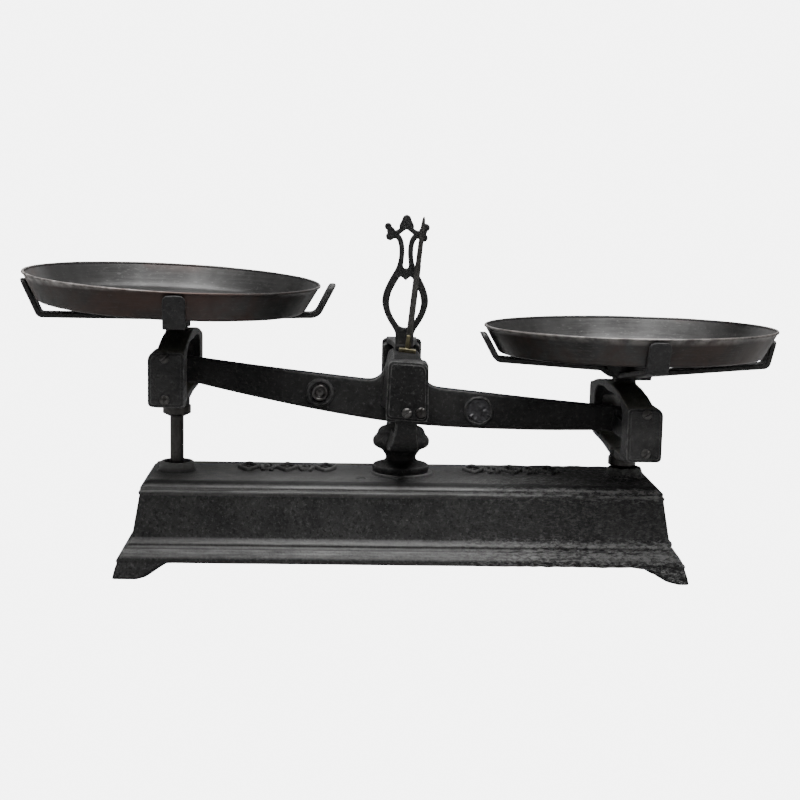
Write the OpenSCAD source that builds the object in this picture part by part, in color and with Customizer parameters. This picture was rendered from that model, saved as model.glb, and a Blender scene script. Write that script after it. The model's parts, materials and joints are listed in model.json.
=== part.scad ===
// Counter balance with two round pans, beam, lyre index and hidden lower beam.
// Millimetres. Origin: middle of the footprint, on the table. X along the beam, Y to the back, Z up.

/* [Beam] */
// Distance from the centre knife to each end knife
arm_len = 182.25; // [170:0.05:195]
// Height of the centre knife edge above the table
knife_z = 142.7; // [140:0.1:150]
// Resting tilt, right end low, degrees
rest_tilt = 5.87; // [0:0.01:6]
// Thickness of the beam bar, front to back
bar_t = 12; // [8:0.5:16]
// Length of the cross heads, front to back
head_len = 105; // [90:1:106]

/* [Lower beam] */
// Height of the lower beam's pivot above the table
lower_z = 32; // [30:0.5:34]
// Half gap between the two straps of the lower beam
strap_gap = 3.6; // [3.4:0.1:5]

/* [Base] */
// Half length of the flat top
top_hl = 203; // [200:0.1:215]
// Half depth of the flat top
top_hd = 45.4; // [42:0.1:52]
// Offset of the column and the beam's centre from the middle of the base, along the beam
mid_x = -1.3; // [-2:0.1:0]
// Height of the skirt's lower edge above the table
skirt_z = 12.5; // [9:0.5:14]
// Wall thickness of the casting
wall = 6; // [5:0.5:8]
// Radius of the holes for the stirrup rods
rod_hole_r = 10.4; // [9:0.1:11]

/* [Stirrups] */
// Half depth of a stirrup, to the seat of its cover plates
stir_y = 76.9; // [74:0.1:80]
// Half width of a stirrup cheek
stir_x = 13.5; // [12:0.1:15]
// Radius of the stirrup rod
rod_r = 5.3; // [4:0.1:5.5]
// Radius of the rod's collar
collar_r = 11.3; // [11:0.1:12]

/* [Pans] */
// Radius of the pan at its rim
pan_r = 117.8; // [117:0.1:118]
// Radius of the pan at its bottom
pan_br = 107; // [104:0.5:107]
// Height of the pan
pan_h = 22.6; // [20:0.1:23]
// Thickness of the pan's sheet
pan_t = 1.5; // [1:0.1:2]
// How far the left pan leans in its carrier, degrees
left_pan_lean = 2.46; // [0:0.02:2.46]

/* [Carriers] */
// Width of a carrier arm
arm_w = 16.4; // [14:0.2:20]
// Thickness of a carrier arm
arm_t = 4; // [2.5:0.1:4.5]
// Turn of the left carrier about its screw, degrees
left_turn = 4.9; // [0:0.1:8]
// Turn of the right carrier about its screw, degrees
right_turn = 1.4; // [0:0.1:8]

/* [Index] */
// Height of the needle's tip above the centre knife
needle_h = 139.4; // [134:0.1:142]

/* [Hidden] */
$fn = 64;
IRON = [0.16, 0.16, 0.165];
IRON2 = [0.22, 0.22, 0.225];
STEEL = [0.38, 0.37, 0.36];
PANC = [0.25, 0.21, 0.19];
BRASS = [0.72, 0.66, 0.42];
LEAD = [0.36, 0.36, 0.38];

top_z = 73.1;
lyre_top = 282.4;
base_x = -0.6;
hole_x = 182.45;
band_l = -94;
band_r = 91;
kx = arm_len * cos(rest_tilt);
kl = knife_z + arm_len * sin(rest_tilt);
kr = knife_z - arm_len * sin(rest_tilt);

// points of a smooth curve through a list of points
function cr1(a, b, c, d, t) = 0.5 * ((2 * b) + (c - a) * t + (2 * a - 5 * b + 4 * c - d) * t * t + (3 * b - a - 3 * c + d) * t * t * t);
function smooth(p, n) = [for (i = [0 : len(p) - 2]) for (k = [0 : n - 1])
    cr1(p[max(i - 1, 0)], p[i], p[i + 1], p[min(i + 2, len(p) - 1)], k / n), p[len(p) - 1]];
function flipx(p) = [for (i = [len(p) - 1 : -1 : 0]) [-p[i][0], p[i][1]]];

function unit(v) = v / norm(v);
// rounded corner at p between its neighbours a and b, in n steps
function corner(a, p, b, r, n) = let(u = unit(a - p), v = unit(b - p), h = acos(u * v) / 2, d = r / tan(h), c = p + unit(u + v) * r / sin(h),
    s = p + u * d - c, e = p + v * d - c, g = (s[0] * e[1] - s[1] * e[0] > 0 ? 1 : -1) * (180 - 2 * h))
    [for (i = [0 : n]) c + [s[0] * cos(g * i / n) - s[1] * sin(g * i / n), s[0] * sin(g * i / n) + s[1] * cos(g * i / n)]];
// outline through corners [x, z, radius]
function outline(q, n) = [for (i = [0 : len(q) - 1]) let(a = q[(i + len(q) - 1) % len(q)], p = q[i], b = q[(i + 1) % len(q)])
    each (p[2] > 0 ? corner([a[0], a[1]], [p[0], p[1]], [b[0], b[1]], p[2], n) : [[p[0], p[1]]])];
// strip of thickness t around a line of points
function side(p, i) = let(d = unit(p[min(i + 1, len(p) - 1)] - p[max(i - 1, 0)])) [-d[1], d[0]];
function strip(p, t) = concat([for (i = [0 : len(p) - 1]) p[i] - side(p, i) * t / 2], [for (i = [len(p) - 1 : -1 : 0]) p[i] + side(p, i) * t / 2]);

// profile drawn in X and Z, made thick along Y, from y0 to y1
module xz(pts, y0, y1) translate([0, y1, 0]) rotate([90, 0, 0]) linear_extrude(height = y1 - y0) polygon(pts);
// profile drawn in Y and Z, made thick along X, from x0 to x1
module yz(pts, x0, x1) translate([x0, 0, 0]) rotate([90, 0, 90]) linear_extrude(height = x1 - x0) polygon(pts);
module ycyl(r, y0, y1) translate([0, y1, 0]) rotate([90, 0, 0]) cylinder(r = r, h = y1 - y0);

module in_beam() translate([mid_x, 0, knife_z]) rotate([0, rest_tilt, 0]) children();
module in_lower() translate([mid_x, 0, lower_z]) rotate([0, rest_tilt, 0]) children();
module in_left() translate([mid_x - kx, 0, kl]) rotate([0, 0, 180]) children();
module in_right() translate([mid_x + kx, 0, kr]) children();

/* ---------- base ---------- */
base_prof = [[22.3, 0], [22, 1.5], [21.2, 5], [20, 9], [19, 12.4], [19.5, 13], [19.6, 13.9], [19.2, 14.7], [18.3, 15.2], [17.4, 16.8], [16.3, 19],
    [15, 21], [13.5, 23], [12, 25], [10.9, 26.5], [10, 27.3], [9.5, 27.9], [10.1, 28.4], [10.5, 29.2], [10.5, 30.1],
    [10.1, 31], [9.2, 31.6], [8.4, 31.9], [2.9, 65.6], [3.4, 66], [3.6, 66.9], [3.4, 67.8], [2.8, 68.4], [1.6, 68.7],
    [1.9, 69.4], [1.7, 70.6], [1.1, 71.9], [0.1, 72.8], [-0.8, 73.1]];
function both(h, pr, d) = concat([for (p = pr) [h + p[0] - d, p[1]]], [for (i = [len(pr) - 1 : -1 : 0]) [-(h + pr[i][0] - d), pr[i][1]]]);
cav_prof = [[22.3, -1], [21, 5], [18.5, 13.8], [16.3, 19], [12, 25], [9, 30], [8.4, 32], [3.2, 64], [1.5, 65.1]];
foot_l = smooth([[-204.9, -0.01], [-202.5, 0.8], [-199.5, 2.8], [-195.5, 6], [-191, 9.4], [-187, skirt_z - 0.7], [-182, skirt_z - 0.1], [-176, skirt_z]], 2);
foot_r = smooth([[214.5, -0.01], [210, 1.2], [204.5, 4.4], [198.5, 8], [192, 10.8], [185.5, skirt_z - 0.3], [177, skirt_z]], 2);
foot_y = smooth([[50, -0.01], [45.5, 3.2], [38.5, 8.6], [32, skirt_z - 0.6], [25, skirt_z]], 4);

module lozenge(w, d, h) translate([0, 0, 0]) linear_extrude(height = h) polygon([[-w / 2, 0], [0, -d / 2], [w / 2, 0], [0, d / 2]]);

module base_casting() color(IRON) difference() {
    union() {
        translate([base_x, 0, 0]) intersection() {
            xz(both(top_hl, base_prof, 0), -90, 90);
            yz(both(top_hd, base_prof, 0), -240, 240);
        }
        for (s = [-1, 1]) translate([s * hole_x, 0, 0])
            rotate_extrude($fn = 72) polygon([[0, 72], [16.9, 72], [16.6, 73.3], [15.6, 74.1], [14.9, 75.2], [14.5, 76.8], [14, 79.2], [13.5, 80.8], [12.9, 81.4], [0, 81.4]]);
        translate([-0.1, 0, top_z - 0.6]) cylinder(r = 24.8, h = 3.1);
        for (s = [-1, 1]) for (i = [-2 : 2]) translate([(s > 0 ? band_r : band_l) + i * 16, 17, top_z - 0.5])
            if (i % 2 == 0) lozenge(14, 24, 2.7); else { cylinder(r = 4.8, h = 2.6, $fn = 40); cylinder(r = 2.6, h = 3.6, $fn = 32); }
    }
    translate([base_x, 0, 0]) intersection() {
        xz(both(top_hl, cav_prof, wall), -90, 90);
        yz(both(top_hd, cav_prof, wall), -240, 240);
    }
    xz(concat(foot_r, [for (i = [len(foot_l) - 1 : -1 : 0]) foot_l[i]]), -90, 90);
    yz(concat(foot_y, flipx(foot_y)), -240, 240);
    for (s = [-1, 1]) translate([s * hole_x, 0, 60]) cylinder(r = rod_hole_r, h = 30);
    translate([mid_x, 0, 60]) cylinder(r = 6.05, h = 20);
    translate([-33.6, -20.8, top_z - 3.5]) cylinder(r = 4.3, h = 6, $fn = 40);
}

/* ---------- column ---------- */
col_prof = [[0, 75.6], [22.4, 75.6], [22.9, 76.8], [22.9, 80], [22.3, 81.2], [19, 82.2], [15, 83.4], [12.9, 84.8], [12, 86.4], [12, 87.6],
    [12.7, 89.2], [13.8, 90.9], [15, 92.6], [16.6, 94.2], [19.2, 95.3], [21.5, 96.5], [22.7, 98.2], [23, 100.8], [22.4, 103], [20.8, 104.7], [19.6, 106],
    [18.8, 109], [17, 111.2], [14.5, 112.1], [0, 112.1]];
fork_out = concat([[0, 97]], smooth([[22, 97.4], [38, 98.8], [52, 102.6], [62, 109], [68, 118], [70.1, 127]], 3), [[70.1, 130]]);
fork_in = concat([[55, 130]], smooth([[55, 126], [53, 119.6], [47.5, 115], [38, 112.5], [24, 112.1]], 3), [[0, 112.1]]);
leg_l = smooth([[-14.3, 90], [-13.9, 97], [-12.2, 104], [-9.8, 112], [-8.3, 122], [-8, 135]], 2);
leg_r = smooth([[11.7, 90], [11.3, 97], [10, 104], [8.6, 112], [8, 122], [8, 135]], 2);
module rbox(x, y0, y1, z0, z1, r) union() {
    translate([-x, y0, z0]) cube([2 * x, y1 - y0, z1 - z0 - r]);
    translate([-x + r, y0, z0 + 1]) cube([2 * x - 2 * r, y1 - y0, z1 - z0 - 1]);
    for (s = [-1, 1]) translate([s * (x - r), 0, z1 - r]) ycyl(r, y0, y1);
}
module column() color(IRON) difference() {
    union() {
        translate([mid_x, 0, 0]) rotate_extrude($fn = 96) polygon(col_prof);
        translate([mid_x, 0, 50]) cylinder(r = 6, h = 27);
        intersection() {
            for (m = [0, 1]) mirror([0, m, 0]) yz(concat(fork_out, fork_in), -30, 30);
            xz(concat(leg_r, [for (i = [len(leg_l) - 1 : -1 : 0]) leg_l[i]]), -90, 90);
        }
        for (m = [0, 1]) mirror([0, m, 0]) rbox(15.8, 55, 70.1, 127, 173.6, 4);
    }
    for (m = [0, 1]) mirror([0, m, 0]) {
        translate([mid_x - 7.7, 50, knife_z - 5.2]) cube([15.4, 30, 17.4]);
        for (p = centre_screws) translate([p[0], 0, p[1]]) ycyl(2.1, 59, 80);
    }
    translate([0, 62.5, 160]) cylinder(r = 2.1, h = 20);
}
module column_nut() color(STEEL) translate([mid_x, 0, 0]) difference() {
    translate([0, 0, 53]) cylinder(r = 11, h = 8.1, $fn = 6);
    translate([0, 0, 50]) cylinder(r = 6.03, h = 20);
}
// bearing block with its vee up and the apex of the vee at the origin
module vee_block(below, hx) difference() {
    translate([-hx, 56.5, -below]) cube([2 * hx, 13.4, below + 3]);
    xz([[0, -0.03], [6.2, 3.55], [6.2, 4], [-6.2, 4], [-6.2, 3.55]], 50, 80);
}
module centre_bearings() color(STEEL) translate([mid_x, 0, knife_z]) for (m = [0, 1]) mirror([0, m, 0]) vee_block(5.2, 7.65);
centre_screws = [[-0.3, 134.6], [10.6, 135.2]];
// plate with a raised middle, seated at y0: corners [x, z, radius]
module plate(q, c, y0) union() {
    xz(outline(q, 5), y0, y0 + 2);
    xz(outline([for (p = q) [p[0] + (p[0] > c[0] ? -2 : 2), p[1] + (p[1] > c[1] ? -2 : 2), max(p[2] - 1.6, 1)]], 5), y0 + 1, y0 + 3);
}
front_plate = [[-16.4, 129.6, 4], [16.2, 127.2, 4], [15.6, 172.9, 7], [-14.8, 174.3, 4]];
rear_plate = [[-16.3, 128.6, 4], [17.2, 128.6, 4], [17.2, 176.4, 4], [-16.3, 176.4, 4]];
module centre_cover_plates() color(IRON2) difference() {
    union() {
        plate(rear_plate, [0, 150], 70.1);
        rotate([0, 0, 180]) plate(flipx3(front_plate), [0, 150], 70.1);
    }
    for (m = [0, 1]) mirror([0, m, 0]) for (p = centre_screws) translate([p[0], 0, p[1]]) ycyl(2.15, 60, 80);
}
function flipx3(p) = [for (i = [len(p) - 1 : -1 : 0]) [-p[i][0], p[i][1], p[i][2]]];
module screw(len, hr) difference() {
    union() {
        ycyl(2, -len, 0.5);
        ycyl(hr, 0, 1.2);
        translate([0, 1.2, 0]) rotate([-90, 0, 0]) cylinder(r1 = hr, r2 = hr * 0.62, h = 0.9);
    }
    translate([-5, 1.4, -0.45]) cube([10, 2, 0.9]);
}
module centre_plate_screws() color(STEEL) for (m = [0, 1]) mirror([0, m, 0]) for (p = centre_screws) translate([p[0], 73.1, p[1]]) rotate([0, 35 + 50 * p[0], 0]) screw(12, 3.6);

/* ---------- lyre index ---------- */
lyre_side = concat(smooth([[6.9, 177.4], [6.9, 185], [7.8, 189], [10, 192.8], [13.2, 197.8], [16.1, 203.8], [17.9, 209.8], [18.2, 214.5], [17.2, 220.1], [15, 225.8],
    [12.5, 230.8], [9.8, 235.6], [7.8, 239.2], [6.4, 243.1], [5.4, 248], [5.2, 252.6], [5.5, 257.6], [6.7, 261.6], [8.8, 264], [12.2, 262.9]], 2),
    [[13.4, 266], [13.4, 270.6], [10.6, 269.3], [7.6, 270], [5.3, 271.5]],
    smooth([[5.6, 272.8], [5.3, 274.6], [4.4, 276.5], [3.5, 278.2], [3.1, 279.8], [2, 281.5], [0, lyre_top]], 3));
low_win = smooth([[0, 191.4], [3.8, 192.4], [6.6, 195.3], [9.6, 199.9], [12, 205.1], [13.2, 211], [12.8, 216.2], [11.3, 221.4], [8.9, 226.3], [6.4, 230.8], [4.8, 233], [3.7, 233.3], [2.1, 232.3], [0, 230.4]], 3);
top_win = smooth([[0, 239.3], [1.7, 239.7], [2.6, 241.6], [2.4, 245], [1.9, 250], [1.8, 254], [2.2, 258.6], [3.2, 262.6], [4.7, 265.4], [5.9, 266.9], [4.7, 268], [2.7, 269.6], [1.1, 270.8], [0, 271.2]], 3);
module lyre_index() color(IRON) difference() {
    union() {
        xz(concat(lyre_side, flipx(lyre_side)), 6, 9.6);
        for (b = [[-14.8, 273.1, 2.5], [-12.6, 269.5, 2.9], [-13.3, 265.2, 2.9], [15.4, 272.6, 2.8], [13.2, 269.3, 2.9], [13.8, 264.4, 2.9]])
            translate([b[0], 0, b[1]]) ycyl(b[2], 5.8, 9.8, $fn = 32);
        linear_foot();
    }
    xz(concat(low_win, flipx(low_win)), 0, 20);
    xz(concat(top_win, flipx(top_win)), 0, 20);
    translate([0, 62.5, 170]) cylinder(r = 2.7, h = 20);
}
module linear_foot() translate([0, 0, 173.6]) linear_extrude(height = 3.9) polygon([[-6.9, 5.6], [6.9, 5.6], [7.4, 20], [9, 40], [12, 54], [12.4, 69.6], [-12.4, 69.6], [-12, 54], [-9, 40], [-7.4, 20]]);
module lyre_screw() color(STEEL) translate([0, 62.5, 177.5]) rotate([90, 0, 0]) screw(13, 4.4);

/* ---------- lower pivot ---------- */
module pivot_bracket() color(IRON) translate([mid_x, 0, 0]) difference() {
    union() {
        translate([-15, -24, 61.1]) cube([30, 48, 4]);
        for (m = [0, 1]) mirror([0, m, 0]) {
            xz([[-12, 63], [12, 63], [8.5, lower_z], [-8.5, lower_z]], 12.5, 16);
            translate([0, 0, lower_z]) ycyl(8.5, 12.5, 16);
        }
    }
    translate([0, 0, 50]) cylinder(r = 6.05, h = 20);
    translate([0, 0, lower_z]) ycyl(4, -20, 20);
}
module pivot_pin() color(STEEL) translate([mid_x, 0, lower_z]) union() {
    ycyl(4, -17.5, 17.5);
    for (m = [0, 1]) mirror([0, m, 0]) ycyl(5.6, 16, 18.6);
}

/* ---------- beam ---------- */
function bot(x) = -27 + 13.3 * pow(min(abs(x), 165) / 165, 1.6);
function topz(x) = 4.8 + 1.4 * pow(min(abs(x), 165) / 165, 4);
hub_side = [[15.6, 17], [14.6, 20], [13.2, 24], [12, 27], [10.9, 29.2], [9.6, 30], [0, 30]];
beam_half = concat([for (x = [0 : 11 : 165]) [x, bot(x)]], [[174, -13.7], [190, -13.7], [192, -11.5], [192, 3.4], [190, 5.2], [174, 6.2]],
    [for (x = [165 : -15 : 30]) [x, topz(x)]], [[25.2, 5.3], [21.6, 6.9], [18.8, 9.6], [17.2, 12.6], [16.4, 15.4]], hub_side);
knife_up = [[0, 0], [4.6, -7.97], [4.6, -10.5], [-4.6, -10.5], [-4.6, -7.97]];
knife_dn = [[0, 0], [4.6, 7.97], [4.6, 10.5], [-4.6, 10.5], [-4.6, 7.97]];
module beam() color(IRON) in_beam() difference() {
    union() {
        xz(concat(beam_half, flipx(beam_half)), -bar_t / 2, bar_t / 2);
        // centre cross head
        intersection() {
            yz([[-head_len / 2, -6], [-20, -14], [20, -14], [head_len / 2, -6], [head_len / 2, 22], [36, 26.6], [20, 30], [-20, 30], [-36, 26.6], [-head_len / 2, 22]], -20, 20);
            xz(concat([[0, -40], [16.4, -40], [16.4, 15.4]], hub_side, flipx(hub_side), [[-16.4, 15.4], [-16.4, -40]]), -90, 90);
            translate([0, 0, -30]) linear_extrude(height = 70) polygon([[-11.2, -60], [11.2, -60], [15.5, -10], [15.5, 10], [11.2, 60], [-11.2, 60], [-15.5, 10], [-15.5, -10]]);
        }
        // end cross heads
        for (s = [-1, 1]) translate([s * arm_len, 0, 0]) intersection() {
            yz([[-head_len / 2, -12.5], [-16, -13.7], [16, -13.7], [head_len / 2, -12.5], [head_len / 2, 3.5], [40, 5.5], [-40, 5.5], [-head_len / 2, 3.5]], -14, 14);
            translate([0, 0, -20]) linear_extrude(height = 40) polygon([[-8, -60], [8, -60], [8.6, -20], [8.6, 20], [8, 60], [-8, 60], [s > 0 ? -8.6 : -8.6, 20], [-8.6, -20]]);
        }
        translate([-65.7, 0, -9.8]) ycyl(10.2, -bar_t / 2 - 1.3, bar_t / 2 + 1.3);
        translate([63.2, 0, -9.6]) ycyl(11.3, -bar_t / 2 - 0.7, bar_t / 2);
        translate([-24, 0, -14.6]) ycyl(1.5, -bar_t / 2 - 0.8, 0, $fn = 24);
    }
    // seats of the knives
    xz(knife_dn, -60, 60);
    for (s = [-1, 1]) translate([s * arm_len, 0, 0]) xz(knife_up, -60, 60);
    for (s = [-1, 1]) for (m = [0, 1]) mirror([0, m, 0]) translate([s * arm_len - 20, 10, -0.02]) cube([40, 60, 20]);
    for (m = [0, 1]) mirror([0, m, 0]) translate([-20, 46, -20]) cube([40, 20, 20.02]);
    translate([-65.7, 0, -9.8]) ycyl(8.3, -bar_t / 2 - 3, bar_t / 2 - 4);
    translate([63.2, 0, -9.6]) ycyl(10.3, -bar_t / 2 - 3, -bar_t / 2 + 1.6);
}
module centre_knife() color(STEEL) in_beam() xz(knife_dn, -69.5, 69.5);
module left_knife() color(STEEL) in_beam() translate([-arm_len, 0, 0]) xz(knife_up, -76, 76);
module right_knife() color(STEEL) in_beam() translate([arm_len, 0, 0]) xz(knife_up, -76, 76);
module needle() color(STEEL) in_beam() translate([0.4, 0, 0])
    xz([[-2, 33.2], [2, 33.2], [2, 101], [1.5, 101.7], [1.35, 118], [0.9, 131], [0.15, needle_h], [-0.15, needle_h], [-0.9, 131], [-1.35, 118], [-1.5, 101.7], [-2, 101]], -1.1, 0.5);
module needle_block() color(BRASS) in_beam() union() {
    translate([-6.5, -4, 30]) cube([13.6, 7.5, 3.2]);
    translate([-1.75, -2.6, 33]) cube([2.9, 1.5, 11]);
    translate([-1.75, 0.5, 33]) cube([2.9, 1.5, 9]);
}
module adjuster_plug() color(STEEL) in_beam() translate([-65.7, 0, -9.8]) difference() {
    union() {
        ycyl(8.2, -bar_t / 2 + 0.6, bar_t / 2 - 4);
        translate([0, -bar_t / 2 + 0.7, 0]) rotate([90, 20, 0]) cylinder(r = 7.6, h = 2.1, $fn = 6);
    }
    ycyl(3.3, -20, -1, $fn = 48);
}
module seal_disc() color(LEAD) in_beam() translate([63.2, 0, -9.6]) difference() {
    union() {
        ycyl(9, -bar_t / 2 + 0.3, -bar_t / 2 + 1.6);
        for (k = [0 : 5]) rotate([0, 60 * k, 0]) translate([4.4, 0, 0]) ycyl(1.7, -bar_t / 2 - 0.2, -bar_t / 2 + 1, $fn = 24);
        ycyl(2, -bar_t / 2 - 0.3, -bar_t / 2 + 1, $fn = 24);
    }
    difference() { ycyl(8, -20, -bar_t / 2 + 0.6); ycyl(6.9, -20, 0); }
}

/* ---------- lower beam ---------- */
module lower_beam() color(IRON) in_lower() difference() {
    union() {
        for (m = [0, 1]) mirror([0, m, 0]) {
            xz([[-arm_len, -7.5], [-60, -7], [0, -8.5], [60, -7], [arm_len, -7.5], [arm_len, 7.5], [60, 7], [0, 8.5], [-60, 7], [-arm_len, 7.5]], strap_gap, strap_gap + 3);
            for (s = [-1, 1]) translate([s * arm_len, 0, 0]) ycyl(7.5, strap_gap, strap_gap + 3);
        }
        for (s = [-1, 1]) translate([s * 75 - 6, -5, -5.5]) cube([12, 10, 11]);
        ycyl(9.5, -11.9, 11.9);
    }
    ycyl(4.06, -20, 20);
    for (s = [-1, 1]) translate([s * arm_len, 0, 0]) ycyl(3, -20, 20);
}
module lower_end_pins() color(STEEL) in_lower() for (s = [-1, 1]) translate([s * arm_len, 0, 0]) {
    ycyl(3, -8, 8);
    for (m = [0, 1]) mirror([0, m, 0]) ycyl(4.4, strap_gap + 3, strap_gap + 4.6);
}

/* ---------- stirrups, drawn for the right end, outboard is +X ---------- */
ring_out = [[0, 27], [10, 27], [30, 25.6], [48, 23.2], [62, 20.4], [70, 18.4], [stir_y, 17.5], [stir_y, -24], [70, -25.4], [55, -28.2], [35, -31.2], [15, -34], [0, -34]];
ring_in = [[0, 19.8], [20, 20.6], [38, 19.8], [48, 17.6], [53.4, 13.6], [56, 7], [56, -14], [54, -20], [46, -24.4], [30, -26.6], [0, -27.6]];
cheek = [[-stir_x, -24.8, 4], [stir_x, -24.8, 4], [stir_x, 17.5, 5.6], [stir_x - 5.8, 17.5, 0], [stir_x - 5.8, 40, 0], [-stir_x, 40, 0]];
module stirrup(turn, screws) difference() {
    union() {
        rotate([0, 0, turn]) intersection() {
            yz(concat(ring_out, flipx(ring_out)), -30, 30);
            union() {
                translate([-stir_x, -90, 6]) cube([2 * stir_x - 5.8, 180, 60]);
                for (m = [0, 1]) mirror([0, m, 0]) xz(outline(cheek, 6), 50, 90);
                translate([0, 0, -60]) linear_extrude(height = 54)
                    polygon(concat(yoke, [for (p = yoke) [-p[0], -p[1]]]));
            }
        }
        translate([0, 0, 20]) cylinder(r1 = 10, r2 = 8.2, h = 9.5);
        translate([0, 0, -34]) cylinder(r = 10.2, h = 7);
    }
    rotate([0, 0, turn]) yz(concat(ring_in, flipx(ring_in)), -40, 40);
    for (m = [0, 1]) mirror([0, m, 0]) translate([-7.6, 50, -12]) cube([15.2, 40, 20.6]);
    rotate([0, 0, turn]) for (m = [0, 1]) mirror([0, m, 0]) for (p = screws) translate([p[0], 0, p[1]]) ycyl(2.1, 64, 90);
    translate([0, 0, 10]) cylinder(r = 3.05, h = 30);
    translate([0, 0, -40]) cylinder(r = rod_r + 0.05, h = 20);
}
yoke = smooth([[11.6, -90], [11.6, -66], [10.6, -58], [9.2, -48], [8.3, -34], [8, -18], [8, 0], [8, 18], [8.3, 34], [9.2, 48], [10.6, 58], [11.6, 66], [11.6, 90]], 2);
left_screws = [[0.9, 13.1], [0.9, -18.5]];
right_screws = [[0.9, 13.1], [0.9, -17.5]];
module end_bearings() for (m = [0, 1]) mirror([0, m, 0]) difference() {
    translate([-7.5, 57, -3]) cube([15, 19.6, 11.5]);
    xz([[0, 0.03], [6.2, -3.55], [6.2, -4], [-6.2, -4], [-6.2, -3.55]], 50, 90);
}
end_plate = [[-13.6, -24.2, 3.4], [13.6, -24.2, 3.4], [13.6, 17.4, 6], [-13.6, 17.4, 3.4]];
module end_plates(turn, screws) rotate([0, 0, turn]) difference() {
    union() {
        plate(end_plate, [0, 0], stir_y);
        rotate([0, 0, 180]) plate(flipx3(end_plate), [0, 0], stir_y);
    }
    for (m = [0, 1]) mirror([0, m, 0]) for (p = screws) translate([p[0], 0, p[1]]) ycyl(2.15, 60, 90);
}
module end_plate_screws(turn, screws) rotate([0, 0, turn]) for (m = [0, 1]) mirror([0, m, 0]) for (p = screws) translate([p[0], stir_y + 3, p[1]]) rotate([0, 7 * p[1], 0]) screw(13, 3.5);
module collar() difference() {
    union() {
        translate([0, 0, -43]) cylinder(r1 = 6.3, r2 = collar_r - 0.4, h = 2.3);
        translate([0, 0, -40.7]) cylinder(r1 = collar_r - 0.4, r2 = collar_r, h = 0.4);
        translate([0, 0, -40.3]) cylinder(r = collar_r, h = 5.7);
        translate([0, 0, -34.6]) cylinder(r1 = collar_r, r2 = collar_r - 0.5, h = 0.6);
    }
    translate([0, 0, -50]) cylinder(r = rod_r + 0.05, h = 20);
}
drop = knife_z - lower_z;
module rod() difference() {
    union() {
        translate([0, 0, -94]) cylinder(r = rod_r, h = 66);
        intersection() {
            translate([0, 0, -drop]) cylinder(r = rod_r + 1.5, h = 24);
            translate([-6, -3, -drop]) cube([12, 6, 24]);
            xz([[-7, -drop], [7, -drop], [rod_r, -96], [rod_r, -86], [-rod_r, -86], [-rod_r, -96]], -10, 10);
        }
        translate([0, 0, -drop]) ycyl(7, -3, 3);
    }
    translate([0, 0, -drop]) ycyl(3.3, -10, 10);
}

module left_stirrup() color(IRON) in_left() stirrup(0, left_screws);
module left_bearings() color(STEEL) in_left() end_bearings();
module left_cover_plates() color(IRON2) in_left() end_plates(0, left_screws);
module left_plate_screws() color(STEEL) in_left() end_plate_screws(0, left_screws);
module left_collar() color(STEEL) in_left() collar();
module left_rod() color(STEEL) in_left() rod();
module right_stirrup() color(IRON) in_right() stirrup(1.6, right_screws);
module right_bearings() color(STEEL) in_right() end_bearings();
module right_cover_plates() color(IRON2) in_right() end_plates(1.6, right_screws);
module right_plate_screws() color(STEEL) in_right() end_plate_screws(1.6, right_screws);
module right_collar() color(STEEL) in_right() collar();
module right_rod() color(STEEL) in_right() rod();

/* ---------- carriers ---------- */
// one arm along +X: line of its underside from the hub, corner c, tip e
function bend(a, c, e) = let(u = unit(c - a), v = unit(e - c), m = [-u[1], u[0]], n = [-v[1], v[0]]) c + arm_t / 2 * (m + n) / (1 + m * n);
function arm_line(a, c, e, q) = let(b = bend(a[len(a) - 1], c, e), up = [0, arm_t / 2]) concat([for (p = a) p + up], corner(a[len(a) - 1] + up, b, b + (e - c), q, 6), [b + (e - c)]);
module carrier_arm(a, c, e, q) intersection() {
    xz(strip(arm_line(a, c, e, q), arm_t), -arm_w / 2, arm_w / 2);
    yz(outline([[-arm_w / 2, -20, 0], [arm_w / 2, -20, 0], [arm_w / 2, e[1] - 0.4, 4.4], [-arm_w / 2, e[1] - 0.4, 4.4]], 6), 0, 150);
}
// h: underside of the hub, ring: height of its raised ring, x0 and x1: ends of the hub plate, arms: [direction, points of the underside, corner, tip, radius of the bend]
module carrier(h, ring, x0, x1, arms) difference() {
    union() {
        for (a = arms) rotate([0, 0, a[0]]) carrier_arm(a[1], a[2], a[3], a[4]);
        translate([0, 0, h]) cylinder(r = 15, h = arm_t + 0.6);
        difference() {
            translate([0, 0, h + 0.6]) cylinder(r1 = 15.5, r2 = 21, h = ring);
            translate([0, 0, h + arm_t]) cylinder(r1 = 12, r2 = 17.6, h = ring);
        }
        translate([x0, -9, h - 3.4]) cube([x1 - x0, 18, 3.6]);
        translate([0, 0, 29.5]) cylinder(r = 10.6, h = h - 29.4);
    }
    cylinder(r = 3.1, h = 60);
}
module carrier_screw(h) union() {
    translate([0, 0, 22]) cylinder(r = 3, h = h + arm_t + 0.7 - 22);
    translate([0, 0, h + arm_t + 0.6]) cylinder(r1 = 6.8, r2 = 5.4, h = 1.8);
}
hub_l = 36.4;
hub_r = 33.2;
module left_carrier() color(IRON) in_left() rotate([0, 0, left_turn]) carrier(hub_l, 7, -9, 9, [
    [0, [[6, hub_l - 1], [14, hub_l - 1]], [108.3, 36.2], [122, 66.6], 3.8],
    [180, [[6, hub_l - 1], [14, hub_l - 1]], [113, 37.7], [127.2, 65.2], 8.4],
    [90, [[6, hub_l - 1], [14, hub_l - 1]], [110.6, 37.9], [122.2, 63.8], 3.8],
    [270, [[6, hub_l - 1], [14, hub_l - 1]], [110.6, 40.6], [121.4, 65.6], 3.8]]);
module left_carrier_screw() color(STEEL) in_left() carrier_screw(hub_l);
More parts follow.
